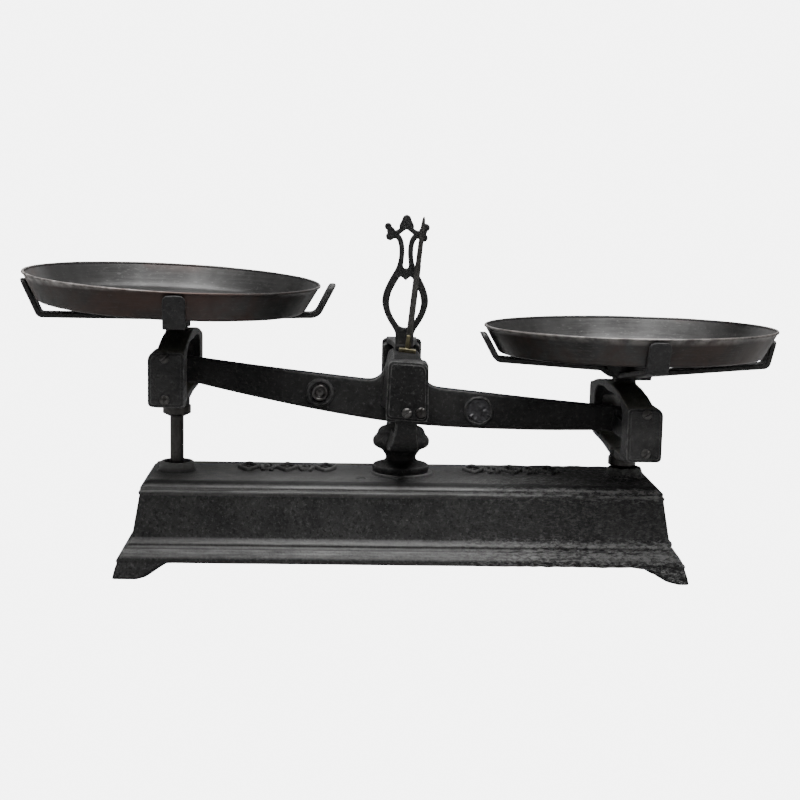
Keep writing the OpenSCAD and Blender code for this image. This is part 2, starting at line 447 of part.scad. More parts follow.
module right_carrier() color(IRON) in_right() rotate([0, 0, right_turn]) carrier(hub_r, 13.6, -9, 19.5, [
    [0, [[6, hub_r - 1], [14, hub_r - 1]], [116.2, 40.5], [121.6, 63.4], 3.8],
    [180, [[6, hub_r - 1], [14, hub_r - 1], [16.5, hub_r + 0.6], [19, hub_r + 3], [22, hub_r + 4.2]], [106.6, 43], [119.6, 66.6], 4.4],
    [90, [[6, hub_r - 1], [14, hub_r - 1]], [110.6, 43.3], [121, 65.6], 3.8],
    [270, [[6, hub_r - 1], [14, hub_r - 1]], [111.6, 48.2], [121.8, 72.9], 3.8]]);
module right_carrier_screw() color(STEEL) in_right() carrier_screw(hub_r);

/* ---------- pans ---------- */
pan_prof = concat([[0, 0], [pan_br - 4, 0]], [for (a = [-80 : 20 : -30]) [pan_br - 3.4 + 3.4 * cos(a), 3.4 + 3.4 * sin(a)]],
    [[pan_r, pan_h - 0.4], [pan_r - 0.3, pan_h], [pan_r - pan_t * 1.05, pan_h], [pan_r - pan_t * 1.15, pan_h - 0.5], [pan_br - 1.9, 4.6], [pan_br - 2.9, 2.4], [pan_br - 5, pan_t], [0, pan_t]]);
module pan() rotate_extrude($fn = 180) polygon(pan_prof);
module left_pan() color(PANC) translate([mid_x - kx - 3.88, 0, kl + 46.7]) rotate([1.21, 0, 0]) rotate([0, left_pan_lean, 0]) pan();
module right_pan() color(PANC) translate([mid_x + kx + 2.21, 0, kr + 50.13]) rotate([-1.28, 0, 0]) rotate([0, -0.24, 0]) pan();

base_casting();
column();
column_nut();
centre_bearings();
centre_cover_plates();
centre_plate_screws();
lyre_index();
lyre_screw();
pivot_bracket();
pivot_pin();
beam();
centre_knife();
left_knife();
right_knife();
needle();
needle_block();
adjuster_plug();
seal_disc();
lower_beam();
lower_end_pins();
left_stirrup();
left_bearings();
left_cover_plates();
left_plate_screws();
left_collar();
left_rod();
left_carrier();
left_carrier_screw();
left_pan();
right_stirrup();
right_bearings();
right_cover_plates();
right_plate_screws();
right_collar();
right_rod();
right_carrier();
right_carrier_screw();
right_pan();
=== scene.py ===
import bpy, bmesh, json, math
from mathutils import Matrix, Vector, noise

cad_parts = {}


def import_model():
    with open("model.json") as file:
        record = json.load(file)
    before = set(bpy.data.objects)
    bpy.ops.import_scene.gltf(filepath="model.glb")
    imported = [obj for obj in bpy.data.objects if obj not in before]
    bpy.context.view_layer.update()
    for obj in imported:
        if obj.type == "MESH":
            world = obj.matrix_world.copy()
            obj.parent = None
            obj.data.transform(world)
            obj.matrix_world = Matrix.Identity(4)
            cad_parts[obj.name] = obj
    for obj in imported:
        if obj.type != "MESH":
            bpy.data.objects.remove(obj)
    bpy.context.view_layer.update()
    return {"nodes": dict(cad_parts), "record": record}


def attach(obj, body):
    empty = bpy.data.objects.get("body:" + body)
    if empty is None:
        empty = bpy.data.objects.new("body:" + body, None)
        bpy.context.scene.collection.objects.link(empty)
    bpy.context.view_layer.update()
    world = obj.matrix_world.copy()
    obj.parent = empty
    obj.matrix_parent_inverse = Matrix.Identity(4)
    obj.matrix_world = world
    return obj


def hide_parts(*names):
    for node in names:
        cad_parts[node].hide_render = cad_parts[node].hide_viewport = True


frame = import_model()
NODES = frame["nodes"]
REC = frame["record"]
SLOT = {s["node"]: s["material_slot"] for s in REC["subparts"]}
MM = 0.001


# ---------------------------------------------------------------- node graphs
class Graph:
    """A material's node tree, with short calls for the nodes used here."""

    def __init__(self, name):
        self.mat = bpy.data.materials.new(name)
        self.mat.use_nodes = True
        self.tree = self.mat.node_tree
        self.tree.nodes.clear()
        self.out = self.tree.nodes.new("ShaderNodeOutputMaterial")
        self.bsdf = self.tree.nodes.new("ShaderNodeBsdfPrincipled")
        self.link(self.bsdf.outputs["BSDF"], self.out.inputs["Surface"])
        self.place = self.tree.nodes.new("ShaderNodeTexCoord").outputs["Object"]
        self.geo = self.tree.nodes.new("ShaderNodeNewGeometry")

    def link(self, a, b):
        self.tree.links.new(a, b)

    def put(self, value, socket):
        if isinstance(value, bpy.types.NodeSocket):
            self.link(value, socket)
        elif value is not None:
            socket.default_value = value

    def noise(self, scale, detail=4.0, rough=0.55, at=None, warp=0.0):
        n = self.tree.nodes.new("ShaderNodeTexNoise")
        n.inputs["Scale"].default_value = scale
        n.inputs["Detail"].default_value = detail
        n.inputs["Roughness"].default_value = rough
        n.inputs["Distortion"].default_value = warp
        self.link(at or self.place, n.inputs["Vector"])
        return n.outputs["Fac"]

    def cells(self, scale, feature="F1", at=None, random=1.0, smooth=None):
        n = self.tree.nodes.new("ShaderNodeTexVoronoi")
        n.feature = feature
        n.inputs["Scale"].default_value = scale
        n.inputs["Randomness"].default_value = random
        self.link(at or self.place, n.inputs["Vector"])
        return n.outputs["Distance"]

    def ramp(self, fac, *stops):
        n = self.tree.nodes.new("ShaderNodeValToRGB")
        e = n.color_ramp.elements
        while len(e) < len(stops):
            e.new(0.5)
        for el, (p, c) in zip(e, stops):
            el.position = p
            el.color = (c, c, c, 1) if isinstance(c, (int, float)) else (*c, 1)
        self.put(fac, n.inputs["Fac"])
        return n.outputs["Color"]

    def math(self, op, a, b=None, c=None, clamp=False):
        n = self.tree.nodes.new("ShaderNodeMath")
        n.operation = op
        n.use_clamp = clamp
        self.put(a, n.inputs[0])
        self.put(b, n.inputs[1])
        self.put(c, n.inputs[2])
        return n.outputs[0]

    def mix(self, fac, a, b, mode="MIX"):
        n = self.tree.nodes.new("ShaderNodeMix")
        n.data_type = "RGBA"
        n.blend_type = mode
        self.put(fac, n.inputs["Factor"])
        for v, s in ((a, n.inputs[6]), (b, n.inputs[7])):
            self.put((*v, 1) if isinstance(v, tuple) and len(v) == 3 else v, s)
        return n.outputs[2]

    def xyz(self, v=None):
        n = self.tree.nodes.new("ShaderNodeSeparateXYZ")
        self.link(v or self.place, n.inputs[0])
        return n.outputs

    def stretch(self, x, y, z, at=None):
        n = self.tree.nodes.new("ShaderNodeMapping")
        n.inputs["Scale"].default_value = (x, y, z)
        self.link(at or self.place, n.inputs["Vector"])
        return n.outputs["Vector"]

    def bump(self, height, depth, normal=None, strength=1.0):
        n = self.tree.nodes.new("ShaderNodeBump")
        n.inputs["Distance"].default_value = depth
        n.inputs["Strength"].default_value = strength
        self.link(height, n.inputs["Height"])
        if normal is not None:
            self.link(normal, n.inputs["Normal"])
        return n.outputs["Normal"]

    def rounded(self, radius, samples=6):
        n = self.tree.nodes.new("ShaderNodeBevel")
        n.samples = samples
        n.inputs["Radius"].default_value = radius
        return n.outputs["Normal"]

    def edges(self, radius, lo=0.02, hi=0.22):
        """Light where the surface turns over an edge."""
        r = self.rounded(radius)
        n = self.tree.nodes.new("ShaderNodeVectorMath")
        n.operation = "DOT_PRODUCT"
        self.link(r, n.inputs[0])
        self.link(self.geo.outputs["Normal"], n.inputs[1])
        d = self.math("SUBTRACT", 1.0, n.outputs["Value"])
        return self.ramp(d, (lo, 0.0), (hi, 1.0))

    def crest(self, lo=0.52, hi=0.62):
        """Light on the convex parts of a dense mesh."""
        return self.ramp(self.geo.outputs["Pointiness"], (lo, 0.0), (hi, 1.0))

    def upward(self, lo=0.3, hi=0.95):
        return self.ramp(self.xyz(self.geo.outputs["Normal"])[2], (lo, 0.0), (hi, 1.0))

    def finish(self, color, rough, normal=None, metallic=0.0, specular=0.5, coat=None):
        b = self.bsdf
        self.put((*color, 1) if isinstance(color, tuple) and len(color) == 3 else color, b.inputs["Base Color"])
        self.put(rough, b.inputs["Roughness"])
        b.inputs["Metallic"].default_value = metallic
        b.inputs["Specular IOR Level"].default_value = specular
        if normal is not None:
            self.link(normal, b.inputs["Normal"])
        if coat:
            b.inputs["Coat Weight"].default_value = coat[0]
            b.inputs["Coat Roughness"].default_value = coat[1]
        return self.mat


def casting(name, dark=0.010, light=0.028, wear=0.13, wear_by=0.6, rough=(0.38, 0.62), grain=0.00018, pits=0.0, edge=0.0011, dust=0.0, painted_top_shade=0.6, crest=False, brown=0.0, sheen=0.0, gloss=0.45):
    """Old black paint on cast iron: blotchy, speckled, light with wear on the edges, with painted shade darkening the
    flat tops and an optional painted sheen lightening the up-facing slopes.
    """
    g = Graph(name)
    tone = g.noise(38, 5, 0.6)
    fine = g.noise(620, 3, 0.6)
    sand = g.noise(1500, 2, 0.5)
    lumps = g.noise(210, 3, 0.5)
    base = g.mix(g.ramp(tone, (0.36, 0.0), (0.68, 1.0)), (dark, dark, dark * 1.03), (light, light * 0.99, light * 0.98))
    base = g.mix(g.math("MULTIPLY", g.ramp(g.noise(330, 5, 0.75), (0.54, 0.0), (0.70, 1.0)), 0.75), base, (0.085, 0.084, 0.082))
    if brown:
        spots = g.math("MULTIPLY", g.ramp(g.noise(60, 7, 0.72, warp=0.4), (0.56, 0.0), (0.70, 1.0)), brown)
        base = g.mix(spots, base, (0.055, 0.026, 0.016))
    flat = g.upward(0.75, 0.97)
    if dust:
        base = g.mix(g.math("MULTIPLY", g.upward(), dust), base, (0.055, 0.055, 0.054))
    # painted sheen: up-facing slopes lightened towards a pale grey, standing for light falling on them
    if sheen:
        slope = g.math("MULTIPLY", g.upward(0.12, 0.5), sheen)
        base = g.mix(slope, base, (0.16, 0.158, 0.135))
    # painted shade on the flat tops: they are darkened towards black by this amount
    if painted_top_shade:
        base = g.mix(g.math("MULTIPLY", flat, painted_top_shade), base, (0.004, 0.004, 0.004))
    rub = g.edges(edge)
    if crest:
        rub = g.math("MAXIMUM", rub, g.crest(0.512, 0.56))
    rub = g.math("MULTIPLY", rub, g.ramp(g.noise(260, 4, 0.65), (0.34, 0.12), (0.62, 1.0)))
    rub = g.math("MULTIPLY", rub, wear_by)
    base = g.mix(rub, base, (wear, wear, wear * 0.985))
    r = g.math("MULTIPLY_ADD", g.noise(120, 4, 0.6), rough[1] - rough[0], rough[0])
    r = g.math("SUBTRACT", r, g.math("MULTIPLY", rub, 0.08))
    if painted_top_shade:
        r = g.math("ADD", r, g.math("MULTIPLY", flat, 0.4 * painted_top_shade), clamp=True)
    h = g.math("ADD", g.math("MULTIPLY", fine, 0.6), g.math("MULTIPLY", sand, 0.35))
    h = g.math("ADD", h, g.math("MULTIPLY", lumps, 1.3))
    n = g.bump(h, grain, g.rounded(edge * 0.7, 4) if edge > 0 else None)
    if pits:
        p1 = g.ramp(g.cells(420), (0.0, 0.0), (0.42, 1.0))
        p2 = g.ramp(g.noise(300, 5, 0.75), (0.38, 0.0), (0.55, 1.0))
        n = g.bump(g.math("ADD", g.math("MULTIPLY", p1, 0.55), p2), pits, n)
    return g.finish(base, r, n, 0.0, gloss)


def base_iron():
    """The base's black paint: even and speckled on the left, wrinkled on the right with painted shade and highlights on
    the wrinkles, light with wear on the edges, with painted highlights on the mouldings and painted sheen and shade on
    the top.
    """
    g = Graph("iron_base")
    x, y, z = g.xyz()
    wob = g.math("MULTIPLY_ADD", g.noise(22, 4, 0.6), 0.12, -0.06)
    side = g.ramp(g.math("MULTIPLY_ADD", g.math("ADD", x, wob), 4.0, 0.5 - 4.0 * 0.075), (0.28, 0.0), (0.72, 1.0))
    mould = g.math("MAXIMUM", g.ramp(z, (0.030, 1.0), (0.034, 0.0)), g.ramp(z, (0.0615, 0.0), (0.0645, 1.0)))
    top = g.upward(0.7, 0.95)
    base = g.mix(g.ramp(g.noise(38, 5, 0.6), (0.36, 0.0), (0.68, 1.0)), (0.016, 0.016, 0.0165), (0.036, 0.0357, 0.0353))
    # speckle
    speck = g.ramp(g.noise(390, 5, 0.8), (0.52, 0.0), (0.63, 1.0))
    base = g.mix(g.math("MULTIPLY", speck, 0.6), base, (0.088, 0.087, 0.086))
    pin = g.ramp(g.noise(300, 5, 0.85, g.stretch(1, 1, 1.2)), (0.64, 0.0), (0.70, 1.0))
    base = g.mix(g.math("MULTIPLY", pin, 0.75), base, (0.24, 0.24, 0.235))
    hole = g.ramp(g.noise(340, 4, 0.75, g.stretch(1.1, 1, 1)), (0.38, 1.0), (0.47, 0.0))
    base = g.mix(g.math("MULTIPLY", hole, 0.8), base, (0.004, 0.004, 0.004))
    # painted highlights on the mouldings: lighter streaky bands on the beads and the ogee, left off the top
    band = g.math("MAXIMUM", g.ramp(z, (0.0694, 0.0), (0.0702, 1.0), (0.0718, 1.0), (0.0726, 0.0)), g.ramp(z, (0.0650, 0.0), (0.0658, 1.0), (0.0670, 1.0), (0.0676, 0.0)))
    bead = g.math("MULTIPLY", g.ramp(z, (0.0258, 0.0), (0.0266, 1.0), (0.0288, 1.0), (0.0302, 0.0)), 0.9)
    belly = g.math("MULTIPLY", g.ramp(z, (0.0176, 0.0), (0.0188, 1.0), (0.0203, 1.0), (0.0212, 0.55), (0.0222, 1.0), (0.0238, 1.0), (0.0246, 0.0)), 0.8)
    moulding_highlight = g.math("MAXIMUM", g.math("MAXIMUM", band, bead), belly)
    moulding_highlight = g.math("MULTIPLY", moulding_highlight, g.ramp(g.noise(120, 6, 0.7, g.stretch(0.22, 1, 2.2)), (0.30, 0.35), (0.58, 1.0)))
    moulding_highlight = g.math("MULTIPLY", moulding_highlight, g.math("SUBTRACT", 1.0, top, clamp=True))
    base = g.mix(g.math("MULTIPLY", moulding_highlight, 0.9), base, (0.235, 0.235, 0.231))
    # painted shade in the grooves beside the beads
    groove_shade = g.math("MAXIMUM", g.ramp(z, (0.0676, 0.0), (0.0681, 1.0), (0.0689, 1.0), (0.0693, 0.0)), g.ramp(z, (0.0244, 0.0), (0.0248, 1.0), (0.0256, 1.0), (0.0260, 0.0)))
    base = g.mix(g.math("MULTIPLY", groove_shade, 0.85), base, (0.003, 0.003, 0.003))
    # wrinkles on the right: painted shade in the folds and painted highlights on their crests, over a bump of the same
    # folds
    fold = g.noise(300, 4, 0.75, g.stretch(0.8, 1.2, 2.0), 0.7)
    amount = g.math("MULTIPLY", side, g.math("MULTIPLY_ADD", mould, 0.70, 0.22))
    base = g.mix(g.math("MULTIPLY", amount, g.ramp(fold, (0.42, 0.75), (0.49, 0.0))), base, (0.004, 0.004, 0.004))
    base = g.mix(g.math("MULTIPLY", amount, g.ramp(fold, (0.50, 0.0), (0.60, 1.0))), base, (0.205, 0.205, 0.202))
    # top: painted sheen in the middle of the left, painted shade towards the front and back edge and on the right
    far = g.ramp(g.math("ADD", g.math("ABSOLUTE", y), g.math("MULTIPLY_ADD", g.noise(60, 4, 0.6, g.stretch(0.35, 1, 1)), 0.012, -0.006)), (0.0345, 0.0), (0.0395, 1.0))
    shade_top = g.math("MAXIMUM", far, g.math("MULTIPLY", side, 0.5))
    top_sheen = g.math("MULTIPLY", top, g.math("MULTIPLY", g.ramp(g.noise(46, 5, 0.6), (0.3, 0.3), (0.65, 1.0)), g.ramp(g.math("ADD", x, 0.5), (0.36, 0.95), (0.48, 0.10))))
    base = g.mix(top_sheen, base, (0.115, 0.115, 0.113))
    base = g.mix(g.math("MULTIPLY", g.math("MULTIPLY", top, shade_top), 0.85), base, (0.003, 0.003, 0.003))
    # raised bosses catch the light
    boss = g.math("MULTIPLY", g.ramp(z, (0.0740, 0.0), (0.0756, 1.0)), g.math("MULTIPLY_ADD", side, -0.5, 1.0))
    base = g.mix(g.math("MULTIPLY", boss, 0.8), base, (0.24, 0.24, 0.236))
    rub = g.math("MULTIPLY", g.edges(0.0011), g.ramp(g.noise(260, 4, 0.65), (0.34, 0.12), (0.62, 1.0)))
    base = g.mix(g.math("MULTIPLY", rub, 0.7), base, (0.20, 0.20, 0.198))
    r = g.math("MULTIPLY_ADD", g.noise(120, 4, 0.6), 0.22, 0.40)
    r = g.math("ADD", r, g.math("MULTIPLY", top, g.math("MULTIPLY_ADD", shade_top, 0.40, 0.10)), clamp=True)
    h = g.math("ADD", g.math("MULTIPLY", g.noise(620, 3, 0.6), 0.6), g.math("MULTIPLY", g.noise(1500, 2, 0.5), 0.35))
    h = g.math("ADD", h, g.math("MULTIPLY", g.noise(210, 3, 0.5), 1.3))
    n = g.bump(h, 0.00022, g.rounded(0.0008, 4))
    p1 = g.ramp(g.cells(420), (0.0, 0.0), (0.42, 1.0))
    p2 = g.ramp(g.noise(300, 5, 0.75), (0.38, 0.0), (0.55, 1.0))
    n = g.bump(g.math("ADD", g.math("MULTIPLY", p1, 0.55), p2), 0.00025, n)
    n = g.bump(g.math("MULTIPLY", g.ramp(fold, (0.30, 0.0), (0.70, 1.0)), amount), 0.0008, n)
    return g.finish(base, r, n, 0.0, 0.28)


def steel(name, color, stain, rough, metallic=0.85, grain=0.00005, wear=0.25, edge=0.0006, streak=(1, 1, 1)):
    g = Graph(name)
    at = g.stretch(*streak)
    base = g.mix(g.ramp(g.noise(70, 6, 0.65, at), (0.35, 0.0), (0.68, 1.0)), color, stain)
    base = g.mix(g.math("MULTIPLY", g.ramp(g.noise(420, 4, 0.7), (0.55, 0.0), (0.72, 1.0)), 0.45), base, (0.03, 0.022, 0.018))
    rub = g.math("MULTIPLY", g.edges(edge), g.ramp(g.noise(500, 3, 0.6), (0.35, 0.25), (0.6, 1.0)))
    base = g.mix(g.math("MULTIPLY", rub, 0.75), base, (wear, wear * 0.98, wear * 0.95))
    r = g.math("MULTIPLY_ADD", g.noise(260, 4, 0.6, at), rough[1] - rough[0], rough[0])
    n = g.bump(g.noise(900, 3, 0.6, at), grain, g.rounded(edge, 4))
    return g.finish(base, r, n, metallic, 0.5)


def pan_steel(name, centre, red, seed, rim_shine_and_wear):
    """Browned sheet: painted grey sheen in patches, faint turned rings, rust red in patches near the rim, and a painted
    highlight along the rim.
    """
    g = Graph(name)
    v = g.tree.nodes.new("ShaderNodeVectorMath")
    v.operation = "SUBTRACT"
    g.link(g.place, v.inputs[0])
    v.inputs[1].default_value = centre
    x, y, z = g.xyz(v.outputs[0])
    r = g.math("SQRT", g.math("ADD", g.math("MULTIPLY", x, x), g.math("MULTIPLY", y, y)))
    around = g.math("ARCTAN2", y, x)
    c = g.tree.nodes.new("ShaderNodeCombineXYZ")
    g.link(g.math("MULTIPLY", r, 6.0), c.inputs[0])
    g.link(around, c.inputs[1])
    g.link(z, c.inputs[2])
    ring = g.noise(75, 4, 0.6, c.outputs[0])
    w = g.tree.nodes.new("ShaderNodeMapping")
    w.inputs["Location"].default_value = (seed, 0.0, 0.0)
    w.inputs["Scale"].default_value = (1.0, 1.0, 0.4)
    g.link(g.place, w.inputs["Vector"])
    sheen_patch = g.ramp(g.noise(17, 3, 0.55, w.outputs["Vector"]), (0.38, 0.0), (0.62, 1.0))
    brushed = g.noise(1.0, 3, 0.7, g.stretch(30, 30, 620))
    base = g.mix(g.ramp(g.noise(30, 6, 0.65), (0.34, 0.0), (0.66, 1.0)), (0.012, 0.0117, 0.0115), (0.027, 0.0262, 0.0258))
    flat = g.upward(0.85, 0.98)
    # painted sheen: lighter grey patches, weaker on the flat bottom
    base = g.mix(g.math("MULTIPLY", sheen_patch, g.math("MULTIPLY_ADD", flat, -0.25, 0.6)), base, (0.075, 0.0745, 0.0735))
    base = g.mix(g.math("MULTIPLY", g.ramp(brushed, (0.45, 0.0), (0.62, 1.0)), 0.35), base, (0.065, 0.064, 0.063))
    scuff = g.ramp(g.noise(300, 5, 0.8, g.stretch(0.6, 1, 2.0)), (0.56, 0.0), (0.66, 1.0))
    base = g.mix(g.math("MULTIPLY", scuff, g.math("MULTIPLY_ADD", flat, -0.35, 0.5)), base, (0.12, 0.118, 0.115))
    away = g.tree.nodes.new("ShaderNodeCombineXYZ")
    g.link(x, away.inputs[0])
    g.link(y, away.inputs[1])
    d = g.tree.nodes.new("ShaderNodeVectorMath")
    d.operation = "DOT_PRODUCT"
    g.link(away.outputs[0], d.inputs[0])
    g.link(g.geo.outputs["Normal"], d.inputs[1])
    outside = g.ramp(d.outputs["Value"], (0.0, 0.0), (0.02, 1.0))
    brown = g.math("MULTIPLY", outside, g.ramp(g.noise(22, 6, 0.7, warp=0.5), (0.42, 0.0), (0.62, 1.0)))
    base = g.mix(g.math("MULTIPLY", brown, 0.7), base, (0.052, 0.032, 0.025))
    near = g.math("MAXIMUM", outside, g.ramp(z, (0.0065, 0.0), (0.0100, 1.0)))
    spot = g.math("MULTIPLY", near, g.ramp(g.noise(11, 5, 0.65, warp=0.4), (0.50, 0.0), (0.66, 1.0)))
    base = g.mix(g.math("MULTIPLY", spot, 0.36 * red), base, (0.080, 0.032, 0.022))
    rub = g.math("MULTIPLY", g.edges(0.0009, 0.01, 0.16), g.ramp(g.noise(180, 3, 0.6), (0.3, 0.35), (0.6, 1.0)))
    # painted highlight: a light line along the rim, added to the edge wear and scaled per pan
    lip = g.ramp(z, (0.0102, 0.0), (0.0113, 1.0))
    rub = g.math("MAXIMUM", rub, g.math("MULTIPLY", g.math("MULTIPLY", lip, g.math("MAXIMUM", outside, g.upward(0.6, 0.9))), g.ramp(g.noise(90, 4, 0.6), (0.35, 0.25), (0.6, 1.0))))
    base = g.mix(g.math("MULTIPLY", rub, 0.75 * rim_shine_and_wear), base, (0.55, 0.52, 0.50))
    rough = g.math("MULTIPLY_ADD", g.noise(30, 6, 0.7), 0.26, 0.30)
    rough = g.math("SUBTRACT", rough, g.math("MULTIPLY", sheen_patch, 0.06))
    h = g.math("ADD", g.math("MULTIPLY", ring, 0.5), g.math("MULTIPLY", g.noise(700, 3, 0.6), 0.35))
    h = g.math("ADD", h, g.math("MULTIPLY", brushed, 0.5))
    n = g.bump(h, 0.00007)
    n = g.bump(g.noise(45, 3, 0.5), 0.0004, n)
    return g.finish(base, rough, n, 0.45, 0.45)


MAT = {
    "iron": casting("iron_casting", dark=0.012, light=0.030, pits=0.00028, crest=True, painted_top_shade=0.95, gloss=0.27),
    "lyre_iron": casting("iron_lyre", dark=0.010, light=0.024, wear_by=0.35, pits=0.0001, painted_top_shade=0.0, gloss=0.35),
    # painted shade: the column's iron is darker than the rest, with stronger light crests as painted highlights
    "column_iron": casting("iron_column", dark=0.007, light=0.020, wear=0.20, wear_by=0.75, gloss=0.3, pits=0.00028, crest=True, brown=0.25, painted_top_shade=0.35),
    # the stirrups get the painted sheen on their up-facing slopes
    "stirrup_iron": casting("iron_stirrup", dark=0.013, light=0.034, wear=0.16, pits=0.00028, crest=True, painted_top_shade=0.0, sheen=0.85),
    "base": base_iron(),
    # painted light and shade: the side cover plates get a lighter copy of the plate iron, the centre cover plates a
    # darker one
    "plate_iron": casting("iron_side_plate_lighter", dark=0.011, light=0.050, wear=0.26, wear_by=0.95, pits=0.0004, edge=0.0014, painted_top_shade=0.5, crest=True),
    "centre_plate_iron_darker": casting("iron_centre_plate_darker", dark=0.005, light=0.016, wear=0.24, wear_by=0.9, rough=(0.5, 0.75), pits=0.0004, edge=0.0014, painted_top_shade=1.0, crest=True, gloss=0.22),
    "carrier_iron": casting("iron_carrier", dark=0.014, light=0.042, wear=0.18, wear_by=0.8, pits=0.0002, painted_top_shade=0.0),
    "screw_steel": steel("steel_screw", (0.15, 0.147, 0.142), (0.04, 0.037, 0.035), (0.22, 0.40), wear=0.6),
    "hard_steel": steel("steel_hard", (0.28, 0.28, 0.28), (0.12, 0.11, 0.10), (0.25, 0.4)),
    "rod_steel": steel("steel_rod", (0.10, 0.097, 0.094), (0.036, 0.034, 0.032), (0.3, 0.5), streak=(1, 1, 0.25)),
    "needle_steel": steel("steel_needle", (0.13, 0.126, 0.12), (0.06, 0.056, 0.052), (0.35, 0.5)),
    "brass": steel("brass_dull", (0.24, 0.215, 0.13), (0.11, 0.098, 0.06), (0.3, 0.5), wear=0.5),
    "soft_metal": steel("soft_metal_grey", (0.12, 0.12, 0.125), (0.035, 0.035, 0.037), (0.32, 0.5), wear=0.4),
}


# ---------------------------------------------------------------- meshes
def shade(o, angle=32):
    me = o.data
    for p in me.polygons:
        p.use_smooth = True
    m = o.modifiers.new("by_angle", "EDGE_SPLIT")
    m.split_angle = math.radians(angle)


def soften(o, voxel, rounds=4, factor=0.5, grow=0.0):
    """A cast skin: even small faces with every edge eased over."""
    m = o.modifiers.new("skin", "REMESH")
    m.mode = "VOXEL"
    m.voxel_size = voxel
    m.use_smooth_shade = True
    s = o.modifiers.new("ease", "SMOOTH")
    s.iterations = rounds
    s.factor = factor
    if grow:
        d = o.modifiers.new("paint", "DISPLACE")
        d.strength = grow
        d.mid_level = 0.0


def dress(name, mat, how=None, **kw):
    o = NODES[name]
    o.data.materials.clear()
    o.data.materials.append(MAT[mat])
    if how == "cast":
        soften(o, **kw)
    else:
        shade(o)


# ---------------------------------------------------------------- base casting
def lerp_on(pts, z):
    """Offset at height z on a list of (offset, z) that rises."""
    for (a, za), (b, zb) in zip(pts, pts[1:]):
        if z <= zb:
            t = 0 if zb == za else max(0.0, (z - za) / (zb - za))
            return a + (b - a) * t
    return pts[-1][0]


def spline(pts, n):
    out = []
    for i in range(len(pts) - 1):
        a, b, c, d = pts[max(i - 1, 0)], pts[i], pts[i + 1], pts[min(i + 2, len(pts) - 1)]
        for k in range(n):
            t = k / n
            out.append(tuple(0.5 * (2 * b[j] + (c[j] - a[j]) * t + (2 * a[j] - 5 * b[j] + 4 * c[j] - d[j]) * t * t + (3 * b[j] - a[j] - 3 * c[j] + d[j]) * t ** 3) for j in range(2)))
    out.append(pts[-1])
    return out


BASE_X, TOP_HL, TOP_HD, TOP_Z, SKIRT_Z = -0.6, 203.0, 45.4, 73.1, 12.5
LOW = [(22.3, 0.0), (22.2, 1.0), (21.9, 2.6), (21.2, 5.6), (20.2, 9.0), (19.3, 11.6), (19.1, 12.3), (19.5, 12.8), (19.75, 13.5), (19.6, 14.3), (18.9, 14.8), (18.3, 15.2)]
LOW_LONG = LOW[:6] + [(19.15, 12.3), (19.2, 13.0), (19.15, 14.2), (19.0, 15.2)]
UP_LONG = [(19.0, 15.2), (18.9, 16.2), (18.75, 17.0), (18.3, 17.7), (17.5, 18.5), (16.6, 19.3), (15.8, 20.0), (15.2, 20.7), (14.85, 21.4), (14.5, 22.1), (13.9, 22.6), (13.2, 23.1),
           (12.6, 23.6), (12.1, 24.1), (11.7, 24.6), (11.5, 25.0), (11.5, 25.3), (11.8, 25.7), (12.1, 26.2), (12.05, 26.8), (11.6, 27.5), (10.9, 28.2), (10.2, 28.9), (9.6, 29.6), (9.1, 30.2), (8.75, 30.8), (8.55, 31.4), (8.3, 32.5),
           (7.2, 39.0), (6.1, 46.0), (5.0, 53.0), (3.9, 60.0), (3.4, 63.9), (3.35, 64.3), (3.6, 64.7), (4.1, 65.2), (4.35, 65.9), (4.25, 66.6), (3.8, 67.2), (3.1, 67.6), (2.7, 67.9), (2.6, 68.4), (2.65, 68.9),
           (2.85, 69.2), (2.7, 69.7), (2.2, 70.3), (1.5, 71.0), (0.8, 71.6), (0.0, 72.1), (-0.9, 72.5), (-2.0, 72.8), (-3.4, 73.02), (-5.0, 73.1)]
UP = [(18.3, 15.2), (17.7, 16.3), (16.7, 18.2), (15.4, 20.4), (14.0, 22.3), (12.6, 24.2), (11.5, 25.7), (10.6, 26.7), (10.0, 27.2), (9.7, 27.7),
      (9.9, 28.1), (10.35, 28.6), (10.6, 29.4), (10.5, 30.3), (10.0, 31.1), (9.3, 31.6), (8.7, 31.9), (8.3, 32.5),
      (7.2, 39.0), (6.1, 46.0), (5.0, 53.0), (3.9, 60.0), (3.5, 62.6), (3.5, 63.1), (3.9, 63.5), (4.2, 64.2), (4.2, 65.0), (3.8, 65.7), (3.0, 66.1),
      (2.5, 66.4), (2.4, 66.8), (2.8, 67.2), (3.0, 67.9), (2.9, 68.7), (2.4, 69.4), (1.6, 69.8), (0.9, 70.0), (0.5, 70.4), (0.35, 71.2), (-0.2, 72.0), (-1.1, 72.4), (-1.8, 72.5), (-2.1, 72.8), (-2.9, 73.05), (-4.2, 73.1)]
CAV = [(22.3, -1.0), (21.0, 5.0), (18.5, 13.8), (16.3, 19.0), (12.0, 25.0), (9.0, 30.0), (8.4, 32.0), (3.2, 64.0), (1.5, 65.1)]
FOOT_L = spline([(-204.9, 0.0), (-202.5, 0.8), (-199.5, 2.8), (-195.5, 6.0), (-191.0, 9.4), (-187.0, 11.8), (-182.0, 12.4), (-176.0, 12.5)], 4)
FOOT_R = spline([(177.0, 12.5), (185.5, 12.2), (192.0, 10.8), (198.5, 8.0), (204.5, 4.4), (210.0, 1.2), (214.5, 0.0)], 4)
FOOT_Y = spline([(25.0, 12.5), (32.0, 11.9), (38.5, 8.6), (45.5, 3.2), (50.0, 0.0)], 5)


def along(pts, x):
    for (a, za), (b, zb) in zip(pts, pts[1:]):
        if x <= b:
            return za + (zb - za) * max(0.0, (x - a) / max(b - a, 1e-6))
    return pts[-1][1]


